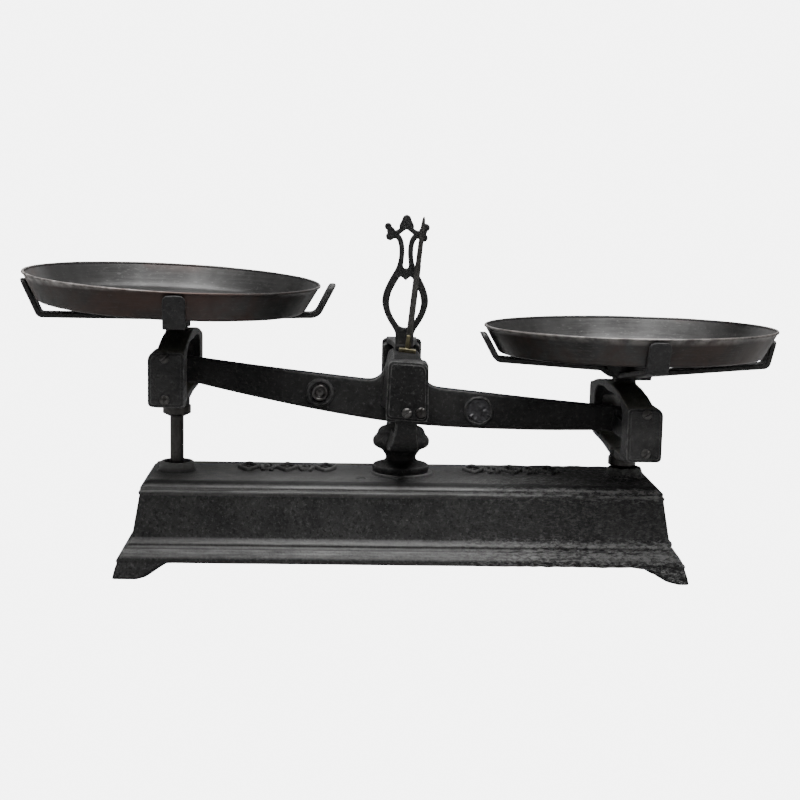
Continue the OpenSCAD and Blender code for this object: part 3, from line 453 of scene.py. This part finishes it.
def arch_x(x):
    if x < FOOT_L[0][0] or x > FOOT_R[-1][0]:
        return 0.0
    if x < FOOT_L[-1][0]:
        return max(0.0, along(FOOT_L, x))
    if x > FOOT_R[0][0]:
        return max(0.0, along(FOOT_R, x))
    return SKIRT_Z


def arch_y(y):
    y = abs(y)
    return SKIRT_Z if y < 25 else (0.0 if y > 50 else max(0.0, along(FOOT_Y, y)))


def roughness_at(x):
    t = min(1.0, max(0.0, (x - 40.0) / 75.0))
    return t * t * (3 - 2 * t)


def perimeter(nx, ny, nc):
    """Walk once round the rectangle: (side, parameter) with side 0 front, 1 right, 2 back, 3 left, and the corners between."""
    seq = []
    for side, n in ((0, nx), (1, ny), (2, nx), (3, ny)):
        for i in range(n + 1):
            seq.append(("s", side, -1 + 2 * i / n))
        for i in range(1, nc):
            seq.append(("c", side, i / nc))
    return seq


def at(seq_item, hl, hd, rc):
    kind, side, t = seq_item
    a, b = hl - rc, hd - rc
    if kind == "s":
        return ((t * a, -hd), (hl, t * b), (-t * a, hd), (-hl, -t * b))[side]
    cx, cy = ((a, -b), (a, b), (-a, b), (-a, -b))[side]
    start = (-90, 0, 90, 180)[side]
    w = math.radians(start + 90 * t)
    return cx + rc * math.cos(w), cy + rc * math.sin(w)


def plate_with_holes(bm, outer, holes, z, flip, grid=9.0):
    """Fills between the outer loop and the hole loops, with points spread inside."""
    from mathutils.geometry import delaunay_2d_cdt
    pts = [Vector((v.co.x, v.co.y)) for v in outer]
    faces_in = [list(range(len(outer)))]
    keep = list(outer)
    edges = [(i, (i + 1) % len(outer)) for i in range(len(outer))]
    for h in holes:
        n = len(pts)
        pts += [Vector((v.co.x, v.co.y)) for v in h]
        keep += list(h)
        edges += [(n + i, n + (i + 1) % len(h)) for i in range(len(h))]
    xs = [p.x for p in pts[:len(outer)]]
    ys = [p.y for p in pts[:len(outer)]]
    circ = []
    for h in holes:
        c = sum((v.co for v in h), Vector()) / len(h)
        circ.append((c.x, c.y, max((v.co - c).length for v in h)))
    nx = int((max(xs) - min(xs)) / (grid * MM))
    ny = int((max(ys) - min(ys)) / (grid * MM))
    for i in range(1, nx):
        for j in range(1, ny):
            x = min(xs) + (max(xs) - min(xs)) * i / nx
            y = min(ys) + (max(ys) - min(ys)) * j / ny
            if all(math.hypot(x - a, y - b) > c + 0.0012 for a, b, c in circ):
                pts.append(Vector((x, y)))
    vs, es, fs, ov, oe, of_ = delaunay_2d_cdt(pts, edges, [], 0, 1e-7)
    made = []
    for v, src in zip(vs, ov):
        src = [k for k in src if k < len(keep)]
        made.append(keep[src[0]] if src else bm.verts.new((v.x, v.y, z)))
    for f in fs:
        c = sum((vs[i] for i in f), Vector((0, 0))) / 3
        if any(math.hypot(c.x - a, c.y - b) < d * 0.985 for a, b, d in circ):
            continue
        t = [made[i] for i in f]
        if len(set(t)) < 3:
            continue
        n = (vs[f[1]] - vs[f[0]]).cross(vs[f[2]] - vs[f[0]])
        if (n < 0) != flip:
            t.reverse()
        try:
            bm.faces.new(t)
        except ValueError:
            pass


def bridge(bm, a, b, flip=False):
    n = len(a)
    for i in range(n):
        q = [a[i], a[(i + 1) % n], b[(i + 1) % n], b[i]]
        if len(set(q)) < 4:
            continue
        if flip:
            q.reverse()
        bm.faces.new(q)


def circle(bm, x, y, z, rad, n):
    return [bm.verts.new(((x + rad * math.cos(2 * math.pi * i / n)) * MM, (y + rad * math.sin(2 * math.pi * i / n)) * MM, z * MM)) for i in range(n)]


def lathe(bm, x, y, prof, n=64):
    """Closed turned shape: profile (radius, z) from the axis to the axis."""
    rows = []
    for rad, z in prof:
        rows.append([bm.verts.new((x * MM, y * MM, z * MM))] * n if rad < 1e-6 else circle(bm, x, y, z, rad, n))
    for a, b in zip(rows, rows[1:]):
        for i in range(n):
            q = [a[i], a[(i + 1) % n], b[(i + 1) % n], b[i]]
            u = list(dict.fromkeys(q))
            if len(u) > 2:
                bm.faces.new(u)


def base_mesh():
    bm = bmesh.new()
    step = 1.7
    seq = perimeter(int(2 * TOP_HL / step), int(2 * TOP_HD / step), 5)
    z_low = []
    for it in seq:
        x, y = at(it, TOP_HL + 19, TOP_HD + 19, 1.6)
        x += BASE_X
        z_low.append(arch_x(x) if it[0] == "s" and it[1] in (0, 2) else (arch_y(y) if it[0] == "s" else 0.0))
    rings = []

    def ring(zs, prof, inset, rc):
        row = []
        for it, z in zip(seq, zs):
            p = lerp_on(prof, z) - inset
            q = lerp_on(LOW_LONG, z) - inset if prof is LOW else p
            x, y = at(it, TOP_HL + p, TOP_HD + q, rc)
            row.append(bm.verts.new(((x + BASE_X) * MM, y * MM, z * MM)))
        rings.append(row)
        return row

    # inside of the walls, from the ceiling down
    for k in range(0, 15):
        z = 65.1 - (65.1 - 15.2) * k / 14
        ring([z] * len(seq), CAV, 6.0, 1.0)
    for k in range(1, 6):
        ring([15.2 + (zl + 0.6 - 15.2) * k / 5 for zl in z_low], CAV, 6.0, 1.0)
    ring([zl + 0.0 for zl in z_low], CAV, 5.4, 1.2)
    ring([zl + 0.0 for zl in z_low], LOW, 0.9, 1.6)
    ring([zl + 0.25 for zl in z_low], LOW, 0.25, 1.8)
    for k in range(0, 17):
        ring([zl + 0.9 + (15.2 - zl - 0.9) * k / 16 for zl in z_low], LOW, 0.0, 1.8)
    dense = []
    for (a, za), (b, zb) in zip(UP_LONG, UP_LONG[1:]):
        n = max(1, int(math.hypot(b - a, zb - za) / (0.95)))
        dense += [(a + (b - a) * (k + 1) / n, za + (zb - za) * (k + 1) / n) for k in range(n)]
    for off, z in dense:
        row = []
        end = lerp_on(UP, z)
        for it in seq:
            x, y = at(it, TOP_HL + end, TOP_HD + off, 1.8)
            row.append(bm.verts.new(((x + BASE_X) * MM, y * MM, z * MM)))
        rings.append(row)
    for a, b in zip(rings, rings[1:]):
        bridge(bm, a, b, flip=False)
    # top face with the rod bosses, and the ceiling under it
    n = 72
    tops, ceil = [], []
    for sx in (-1, 1):
        x = sx * 182.45
        prof = [(18.6, 73.1), (17.2, 73.25), (16.2, 73.6), (15.4, 74.2), (14.9, 75.2), (14.5, 76.8), (14.15, 78.6), (13.8, 80.0), (13.4, 80.9), (12.8, 81.3), (12.1, 81.4), (11.2, 81.35), (10.7, 81.1), (10.4, 80.5), (10.4, 73.0), (10.4, 65.1)]
        rows = [circle(bm, x, 0, z, rad, n) for rad, z in prof]
        for a, b in zip(rows, rows[1:]):
            bridge(bm, a, b)
        tops.append(rows[0])
        ceil.append(rows[-1])
    x, y, h = -33.6, -20.8, 4.3
    rows = [circle(bm, x, y, z, rad, 32) for rad, z in ((h + 0.6, 73.1), (h + 0.15, 72.9), (h, 72.4), (h, 69.6))]
    for a, b in zip(rows, rows[1:]):
        bridge(bm, a, b)
    bm.faces.new(rows[-1])
    tops.append(rows[0])
    plate_with_holes(bm, rings[-1], tops, TOP_Z * MM, False, 3.0)
    plate_with_holes(bm, rings[0], ceil, 65.1 * MM, True, 12.0)
    bmesh.ops.recalc_face_normals(bm, faces=bm.faces)
    bm.normal_update()
    # the cast skin: fine on the left, wrinkled on the right
    for v in bm.verts:
        c = v.co / MM
        if c.z < 0.3 or (math.hypot(abs(c.x) - 182.45, c.y) < 10.6):
            continue
        w = roughness_at(c.x)
        on_end = abs(c.x - BASE_X) > TOP_HL - 2.5
        q = Vector((c.x / 7.0, c.y / 4.5, c.z / 2.2))
        d = 0.10 * noise.noise(Vector((c.x / 22, c.y / 14, c.z / 9))) + 0.04 * noise.noise(q * 1.7)
        panel = 0.22 if 33 < c.z < 63 else 1.0
        d += w * panel * (0.10 if on_end else 0.60) * noise.noise(q, noise_basis="PERLIN_ORIGINAL")
        v.co += v.normal * d * MM
        if v.co.z < 0:
            v.co.z = 0
    me = bpy.data.meshes.new("base_cast")
    bm.to_mesh(me)
    bm.free()
    o = bpy.data.objects.new("base_cast", me)
    bpy.context.scene.collection.objects.link(o)
    for f in me.polygons:
        f.use_smooth = True
    me.materials.append(MAT["base"])
    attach(o, "base")
    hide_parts("base_casting")
    return o


def base_relief():
    """Raised ring under the column and the cast ornament in two bands."""
    bm = bmesh.new()
    lathe(bm, -0.1, 0, [(0, 72.6), (25.6, 72.6), (25.4, 73.3), (24.95, 73.9), (24.8, 74.8), (24.4, 75.4), (23.7, 75.6), (0, 75.6)], 96)
    for cx in (-94.0, 91.0):
        for i in range(-2, 3):
            x = cx + i * 15.8
            if i % 2:
                lathe_ring(bm, x, 16, 5.0, 1.9, 73.0)
                lathe(bm, x, 16, [(0, 72.7), (2.4, 72.7), (2.1, 74.9), (1.3, 75.7), (0, 75.9)], 20)
                for t in (-1, 1):
                    lathe(bm, x + 3.4 * t, 16 + t * 11.4, [(0, 72.7), (2.0, 72.7), (1.8, 74.6), (1.0, 75.3), (0, 75.5)], 20)
                    lathe(bm, x - 3.4 * t, 16 + t * 11.4, [(0, 72.7), (2.0, 72.7), (1.8, 74.6), (1.0, 75.3), (0, 75.5)], 20)
            else:
                hollow_lozenge(bm, x, 16, 7.6, 13.6, 2.9)
    bmesh.ops.recalc_face_normals(bm, faces=bm.faces)
    me = bpy.data.meshes.new("base_relief")
    bm.to_mesh(me)
    bm.free()
    o = bpy.data.objects.new("base_relief", me)
    bpy.context.scene.collection.objects.link(o)
    for f in me.polygons:
        f.use_smooth = True
    me.materials.append(MAT["base"])
    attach(o, "base")
    return o


def lathe_ring(bm, x, y, big, small, z, n=40, m=14):
    rows = []
    for i in range(n):
        a = 2 * math.pi * i / n
        rows.append([bm.verts.new(((x + (big + small * math.cos(2 * math.pi * j / m)) * math.cos(a)) * MM,
                                   (y + (big * 1.75 + small * 1.25 * math.cos(2 * math.pi * j / m)) * math.sin(a)) * MM,
                                   (z + 1.35 * small * math.sin(2 * math.pi * j / m)) * MM)) for j in range(m)])
    for i in range(n):
        a, b = rows[i], rows[(i + 1) % n]
        for j in range(m):
            bm.faces.new((a[j], b[j], b[(j + 1) % m], a[(j + 1) % m]))


def hollow_lozenge(bm, x, y, hx, hy, z1):
    """A lozenge outline with a rounded ridge and a bead in its middle."""
    n, m = 48, 10
    rows = []
    for i in range(n):
        a = 2 * math.pi * i / n
        c, s = math.cos(a), math.sin(a)
        k = 1.0 / (abs(c) ** 1.25 + abs(s) ** 1.25) ** (1 / 1.25)
        px, py = c * k, s * k
        rows.append([])
        for j in range(m):
            w = 2 * math.pi * j / m
            f = 1 + 0.22 * math.cos(w)
            rows[-1].append(bm.verts.new(((x + hx * px * f) * MM, (y + hy * py * f) * MM, (72.95 + (z1 + 0.2) * math.sin(w)) * MM)))
    for i in range(n):
        a, b = rows[i], rows[(i + 1) % n]
        for j in range(m):
            bm.faces.new((a[j], b[j], b[(j + 1) % m], a[(j + 1) % m]))
    lathe(bm, x, y, [(0, 72.7), (1.7, 72.7), (1.5, 74.4), (0.9, 75.0), (0, 75.1)], 20)


base_mesh()
base_relief()

# ---------------------------------------------------------------- turned and small parts
MID_X, KNIFE_Z, TILT, ARM = -1.3, 142.7, 5.87, 182.25
KX, RISE = ARM * math.cos(math.radians(TILT)), ARM * math.sin(math.radians(TILT))
KL, KR = KNIFE_Z + RISE, KNIFE_Z - RISE


def turn(axis, deg):
    return Matrix.Rotation(math.radians(deg), 4, axis)


def move(x, y, z):
    return Matrix.Translation((x, y, z))


IN_BEAM = move(MID_X, 0, KNIFE_Z) @ turn("Y", TILT)
IN_LEFT = move(MID_X - KX, 0, KL) @ turn("Z", 180)
IN_RIGHT = move(MID_X + KX, 0, KR)


def piece(name, bm, m, mat, body, nodes=(), wobble=None):
    """Makes an object from a mesh in millimetres, placed by the matrix m."""
    bmesh.ops.recalc_face_normals(bm, faces=bm.faces)
    bm.normal_update()
    if wobble:
        for v in bm.verts:
            v.co += v.normal * wobble(v.co)
    for v in bm.verts:
        v.co = (m @ v.co) * MM
    me = bpy.data.meshes.new(name)
    bm.to_mesh(me)
    bm.free()
    for f in me.polygons:
        f.use_smooth = True
    o = bpy.data.objects.new(name, me)
    bpy.context.scene.collection.objects.link(o)
    me.materials.append(MAT[mat])
    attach(o, body)
    if nodes:
        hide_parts(*nodes)
    return o


def spin(bm, m, prof, n=96, close=True):
    """Turned shape about Z of the matrix m: profile (radius, height); the ends may lie on the axis."""
    rows = []
    for rad, h in prof:
        if rad < 1e-6:
            v = bm.verts.new(m @ Vector((0, 0, h)))
            rows.append([v] * n)
        else:
            rows.append([bm.verts.new(m @ Vector((rad * math.cos(2 * math.pi * i / n), rad * math.sin(2 * math.pi * i / n), h))) for i in range(n)])
    pairs = list(zip(rows, rows[1:]))
    if close and prof[0][0] > 1e-6:
        pairs.append((rows[-1], rows[0]))
    for a, b in pairs:
        for i in range(n):
            u = list(dict.fromkeys([a[i], a[(i + 1) % n], b[(i + 1) % n], b[i]]))
            if len(u) > 2:
                bm.faces.new(u)


def dense_profile(pts, step):
    out = [pts[0]]
    for (a, za), (b, zb) in zip(pts, pts[1:]):
        n = max(1, int(math.hypot(b - a, zb - za) / step))
        out += [(a + (b - a) * (k + 1) / n, za + (zb - za) * (k + 1) / n) for k in range(n)]
    return out


def pan(name, m, seed):
    """Dished pan of sheet steel with a rolled rim."""
    prof = [(0, 0), (40, 0), (80, 0), (100.5, 0)] + [(103.2 + 3.8 * math.cos(math.radians(a)), 3.8 + 3.8 * math.sin(math.radians(a))) for a in range(-80, -20, 12)]
    prof += [(107.2, 3.2), (112.3, 12.5), (116.6, 20.6)]
    prof += [(116.6 + 1.15 * math.cos(math.radians(a)), 21.5 + 1.15 * math.sin(math.radians(a))) for a in range(-20, 201, 20)]
    prof += [(115.2, 20.6), (111.0, 12.8), (107.3, 6.4), (105.2, 3.6), (102.6, 2.2), (99.5, 1.6), (95, 1.5), (80, 1.5), (40, 1.5), (0, 1.5)]
    bm = bmesh.new()
    spin(bm, Matrix.Identity(4), dense_profile(prof, 2.4), 288)
    base = piece(name, bm, m, name, name + "_body", (name,),
                 wobble=lambda c: 0.22 * noise.noise(Vector((c.x / 34 + seed, c.y / 34, c.z / 20))) + 0.07 * noise.noise(Vector((c.x / 9, c.y / 9, c.z / 7 + seed))))
    return base


def screw_heads(name, m, spots, head, body, node, slant):
    """Domed heads with a shallow slot, and the shanks behind them. The head's axis is -Y in the matrix m."""
    bm = bmesh.new()
    for k, (x, y, z, side) in enumerate(spots):
        face = m @ move(x, y, z) @ turn("X", 90 if side < 0 else -90)
        n, rows = 48, []
        ang = math.radians(slant * (k + 1) * 37)
        prof = [(head, 0.0), (head * 1.0, 0.55), (head * 0.95, 0.95), (head * 0.84, 1.35), (head * 0.68, 1.68), (head * 0.5, 1.9), (head * 0.3, 2.03), (head * 0.12, 2.08)]
        for rad, h in dense_profile(prof, 0.22):
            row = []
            for i in range(n):
                a = 2 * math.pi * i / n
                px, py = rad * math.cos(a), rad * math.sin(a)
                off = abs(-px * math.sin(ang) + py * math.cos(ang))
                dip = max(0.0, min(1.0, (0.62 - off) / 0.22))
                row.append(bm.verts.new(face @ Vector((px, py, h - 0.85 * dip * (1 if h > 0.9 else 0)))))
            rows.append(row)
        for a, b in zip(rows, rows[1:]):
            for i in range(n):
                bm.faces.new((a[i], a[(i + 1) % n], b[(i + 1) % n], b[i]))
        bm.faces.new(rows[-1])
        spin(bm, face, [(head, 0.0), (2.0, 0.0), (2.0, -9.0), (1.6, -11.0), (0, -11.0)], 24, close=False)
    return piece(name, bm, Matrix.Identity(4), "screw_steel", body, (node,))


def needle():
    """Flat tapered pointer with eased edges."""
    bm = bmesh.new()
    rows = []
    for zz, hw in [(33.2, 2.3), (50, 2.6), (75, 2.6), (100.6, 2.5), (101.8, 2.2), (110, 2.15), (118, 2.05), (126, 1.9), (132, 1.7), (136.5, 1.3), (139.0, 0.8), (139.7, 0.35)]:
        rows.append([bm.verts.new(Vector((0.4 + hw * math.copysign(abs(math.cos(t)) ** 0.45, math.cos(t)), -0.3 + min(0.8, hw) * math.copysign(abs(math.sin(t)) ** 0.45, math.sin(t)), zz))) for t in [2 * math.pi * i / 20 for i in range(20)]])
    for a, b in zip(rows, rows[1:]):
        for i in range(20):
            bm.faces.new((a[i], a[(i + 1) % 20], b[(i + 1) % 20], b[i]))
    bm.faces.new(rows[0])
    bm.faces.new(rows[-1])
    return piece("needle_bar", bm, IN_BEAM, "needle_steel", "beam_body", ("needle",))


def medallions():
    face = IN_BEAM @ move(-65.7, -5.9, -9.8) @ turn("X", 90)
    bm = bmesh.new()
    spin(bm, Matrix.Identity(4), [(11.7, -0.6), (11.5, 0.4), (11.0, 1.5), (10.3, 2.3), (9.5, 2.6), (8.8, 2.5), (8.4, 1.9), (8.1, 1.6), (7.8, 1.9), (7.5, 1.8), (7.3, 0.9), (7.2, -0.6)], 96)
    piece("beam_boss_left", bm, face, "iron", "beam_body", wobble=lambda c: 0.12 * noise.noise(c / 2.5))
    bm = bmesh.new()
    spin(bm, Matrix.Identity(4), [(0, -2.4), (6.9, -2.4), (7.0, 0.6), (6.9, 1.9), (6.6, 2.9), (6.0, 3.5), (5.2, 3.7), (4.5, 3.4), (4.0, 2.5), (3.6, 1.2), (3.2, 0.5), (2.2, 0.4), (1.2, 0.9), (0, 1.1)], 96)
    piece("adjuster_plug_head", bm, face, "plug_steel", "beam_body", ("adjuster_plug",), wobble=lambda c: 0.16 * noise.noise(c / 1.9))
    face = IN_BEAM @ move(63.2, -5.9, -9.6) @ turn("X", 90)
    bm = bmesh.new()
    spin(bm, Matrix.Identity(4), [(12.3, -0.5), (12.0, 0.4), (11.5, 1.3), (10.9, 1.8), (10.2, 1.7), (9.7, 1.0), (9.5, 0.1), (9.4, -0.6)], 96)
    piece("beam_boss_right", bm, face, "iron", "beam_body", wobble=lambda c: 0.45 * noise.noise(c / 4.5) + 0.15 * noise.noise(c / 1.6))
    bm = bmesh.new()
    spin(bm, Matrix.Identity(4), [(0, -1.4), (9.6, -1.4)] + [(r, 0.35) for r in (9.6, 9.2, 8.6, 8.0, 7.3, 6.6, 5.9, 5.2, 4.5, 3.8, 3.1, 2.4, 1.7, 1.0)] + [(0, 0.35)], 96)
    piece("seal_face", bm, face, "soft_metal", "beam_body", ("seal_disc",), wobble=lambda c: (1.5 * noise.noise(Vector((c.x / 3.4, c.y / 2.6, 4.2))) if c.z > 0 else 0.0))


MAT["plug_steel"] = steel("steel_plug", (0.17, 0.167, 0.162), (0.04, 0.037, 0.035), (0.26, 0.45), wear=0.6)
pans = {"left_pan": (move(MID_X - KX - 3.88, 0, KL + 46.7) @ turn("X", 1.21) @ turn("Y", 2.46), 3.1),
        "right_pan": (move(MID_X + KX + 2.21, 0, KR + 50.13) @ turn("X", -1.28) @ turn("Y", -0.24), 8.7)}
for n, (m, seed) in pans.items():
    # the left pan's rim gets a stronger painted highlight than the right
    MAT[n] = pan_steel("steel_" + n, tuple((m @ Vector((0, 0, 11))) * MM), 1.0, seed, 1.0 if n == "left_pan" else 0.45)
    pan(n, m, seed)
medallions()
needle()
screw_heads("centre_screw_heads", Matrix.Identity(4), [(x, s * 73.0, z, s) for s in (-1, 1) for x, z in ((-0.3, 134.6), (10.6, 135.2))], 3.9, "base", "centre_plate_screws", 1.0)
screw_heads("left_screw_heads", IN_LEFT, [(0.9, s * 79.8, z, s) for s in (1, -1) for z in (13.1, -18.5)], 3.8, "left_stirrup_body", "left_plate_screws", 1.3)
screw_heads("right_screw_heads", IN_RIGHT @ turn("Z", 1.6), [(0.9, s * 79.8, z, s) for s in (-1, 1) for z in (13.1, -17.5)], 3.8, "right_stirrup_body", "right_plate_screws", 0.8)

DONE = {"left_pan", "right_pan", "base_casting", "needle", "adjuster_plug", "seal_disc", "centre_plate_screws", "left_plate_screws", "right_plate_screws"}
for n in NODES:
    s = SLOT[n]
    if n in DONE:
        continue
    if n == "lyre_index":
        dress(n, "lyre_iron", "cast", voxel=0.00042, rounds=3, grow=0.0004)
    elif n == "column":
        dress(n, "column_iron", "cast", voxel=0.0007, rounds=8, grow=0.0001)
    elif n in ("left_stirrup", "right_stirrup"):
        dress(n, "stirrup_iron", "cast", voxel=0.0007, rounds=6, grow=0.00015)
    elif n == "beam":
        dress(n, "iron", "cast", voxel=0.0009, grow=0.0001)
    elif n in ("left_carrier", "right_carrier"):
        dress(n, s, "cast", voxel=0.0006, rounds=3, grow=0.0002)
    elif n in ("left_cover_plates", "right_cover_plates", "centre_cover_plates"):
        # the centre cover plates take the darker copy of the plate iron, as painted shade
        dress(n, "centre_plate_iron_darker" if n[0] == "c" else s, "cast", voxel=0.0005, rounds=3, grow=0.0001)
    elif n in ("left_rod", "right_rod"):
        dress(n, s, "cast", voxel=0.0005, rounds=3, grow=0.0002)
    elif n == "needle_block":
        dress(n, s, "cast", voxel=0.0003, rounds=3)
    else:
        dress(n, s)


# ---------------------------------------------------------------- stage
def stage_floor():
    me = bpy.data.meshes.new("floor")
    bm = bmesh.new()
    w, back, rise, n = 12.0, 2.6, 1.6, 24
    rows = [(-12.0, -0.0004), (-4.0, -0.0004), (back - rise, -0.0004)]
    rows += [(back - rise + rise * math.sin(a), rise - rise * math.cos(a)) for a in [math.pi / 2 * i / n for i in range(1, n + 1)]]
    rows.append((back, 6.0))
    prev = None
    for y, z in rows:
        cur = [bm.verts.new((s * w, y, z)) for s in (-1, 1)]
        if prev:
            bm.faces.new((prev[0], prev[1], cur[1], cur[0]))
        prev = cur
    bm.to_mesh(me)
    bm.free()
    for p in me.polygons:
        p.use_smooth = True
    o = bpy.data.objects.new("floor", me)
    bpy.context.scene.collection.objects.link(o)
    m = bpy.data.materials.new("floor_paper")
    m.use_nodes = True
    t = m.node_tree
    t.nodes.clear()
    out = t.nodes.new("ShaderNodeOutputMaterial")
    seen = t.nodes.new("ShaderNodeEmission")
    seen.inputs["Color"].default_value = (1, 1, 1, 1)
    seen.inputs["Strength"].default_value = 6.0
    paper = t.nodes.new("ShaderNodeBsdfDiffuse")
    paper.inputs["Color"].default_value = (0.30, 0.30, 0.30, 1)
    add = t.nodes.new("ShaderNodeMixShader")
    ray = t.nodes.new("ShaderNodeLightPath")
    t.links.new(ray.outputs["Is Camera Ray"], add.inputs[0])
    t.links.new(paper.outputs[0], add.inputs[1])
    t.links.new(seen.outputs[0], add.inputs[2])
    t.links.new(add.outputs[0], out.inputs[0])
    me.materials.append(m)


def world():
    w = bpy.data.worlds.new("studio")
    bpy.context.scene.world = w
    w.use_nodes = True
    t = w.node_tree
    t.nodes.clear()
    out = t.nodes.new("ShaderNodeOutputWorld")
    bg = t.nodes.new("ShaderNodeBackground")
    co = t.nodes.new("ShaderNodeTexCoord")
    sep = t.nodes.new("ShaderNodeSeparateXYZ")
    t.links.new(co.outputs["Generated"], sep.inputs[0])
    r = t.nodes.new("ShaderNodeValToRGB")
    e = r.color_ramp.elements
    e[0].position, e[0].color = 0.0, (0.04, 0.04, 0.04, 1)
    e[1].position, e[1].color = 1.0, (0.7, 0.7, 0.7, 1)
    m = e.new(0.5)
    m.color = (0.10, 0.10, 0.10, 1)
    t.links.new(sep.outputs[2], r.inputs[0])
    t.links.new(r.outputs[0], bg.inputs["Color"])
    bg.inputs["Strength"].default_value = 0.9
    white = t.nodes.new("ShaderNodeBackground")
    white.inputs["Color"].default_value = (1, 1, 1, 1)
    white.inputs["Strength"].default_value = 6.0
    ray = t.nodes.new("ShaderNodeLightPath")
    mix = t.nodes.new("ShaderNodeMixShader")
    t.links.new(ray.outputs["Is Camera Ray"], mix.inputs[0])
    t.links.new(bg.outputs[0], mix.inputs[1])
    t.links.new(white.outputs[0], mix.inputs[2])
    t.links.new(mix.outputs[0], out.inputs[0])


def soft_light(name, loc, to, energy, size, size_y=None, spread=None):
    d = bpy.data.lights.new(name, "AREA")
    d.energy = energy
    d.shape = "RECTANGLE"
    d.size = size
    d.size_y = size_y or size
    if spread:
        d.spread = spread
    o = bpy.data.objects.new(name, d)
    bpy.context.scene.collection.objects.link(o)
    o.location = loc
    o.rotation_euler = (Vector(to) - Vector(loc)).to_track_quat("-Z", "Y").to_euler()
    return o


def camera():
    yaw, pitch, roll = 0.0397, 0.1491, 0.0209
    fwd = Vector((math.sin(yaw), math.cos(yaw), 0))
    right = Vector((math.cos(yaw), -math.sin(yaw), 0))
    up = Vector((0, 0, 1))
    up2 = up * math.cos(pitch) + fwd * math.sin(pitch)
    fwd2 = fwd * math.cos(pitch) - up * math.sin(pitch)
    c, s = math.cos(roll), math.sin(roll)
    X, Y, Z = right * c + up2 * s, up2 * c - right * s, -fwd2
    d = bpy.data.cameras.new("camera")
    o = bpy.data.objects.new("camera", d)
    bpy.context.scene.collection.objects.link(o)
    o.matrix_world = Matrix(((X.x, Y.x, Z.x, -0.05154), (X.y, Y.y, Z.y, -1.22669), (X.z, Y.z, Z.z, 0.318079), (0, 0, 0, 1)))
    d.sensor_fit = "HORIZONTAL"
    d.sensor_width = 36
    d.lens = 68.967
    d.clip_end = 50
    bpy.context.scene.camera = o


stage_floor()
world()
soft_light("top", (0.0, -0.30, 1.9), (0, 0, 0.1), 80, 1.8, 1.5)
soft_light("back", (0.0, 2.2, 0.95), (0, 0, 0.1), 5, 2.6, 0.5)
soft_light("left", (-1.7, -0.9, 1.3), (0, 0, 0.12), 4, 0.9)
soft_light("right", (1.6, -0.5, 1.2), (0, 0, 0.12), 2.5, 0.7)
camera()

bpy.context.view_layer.update()
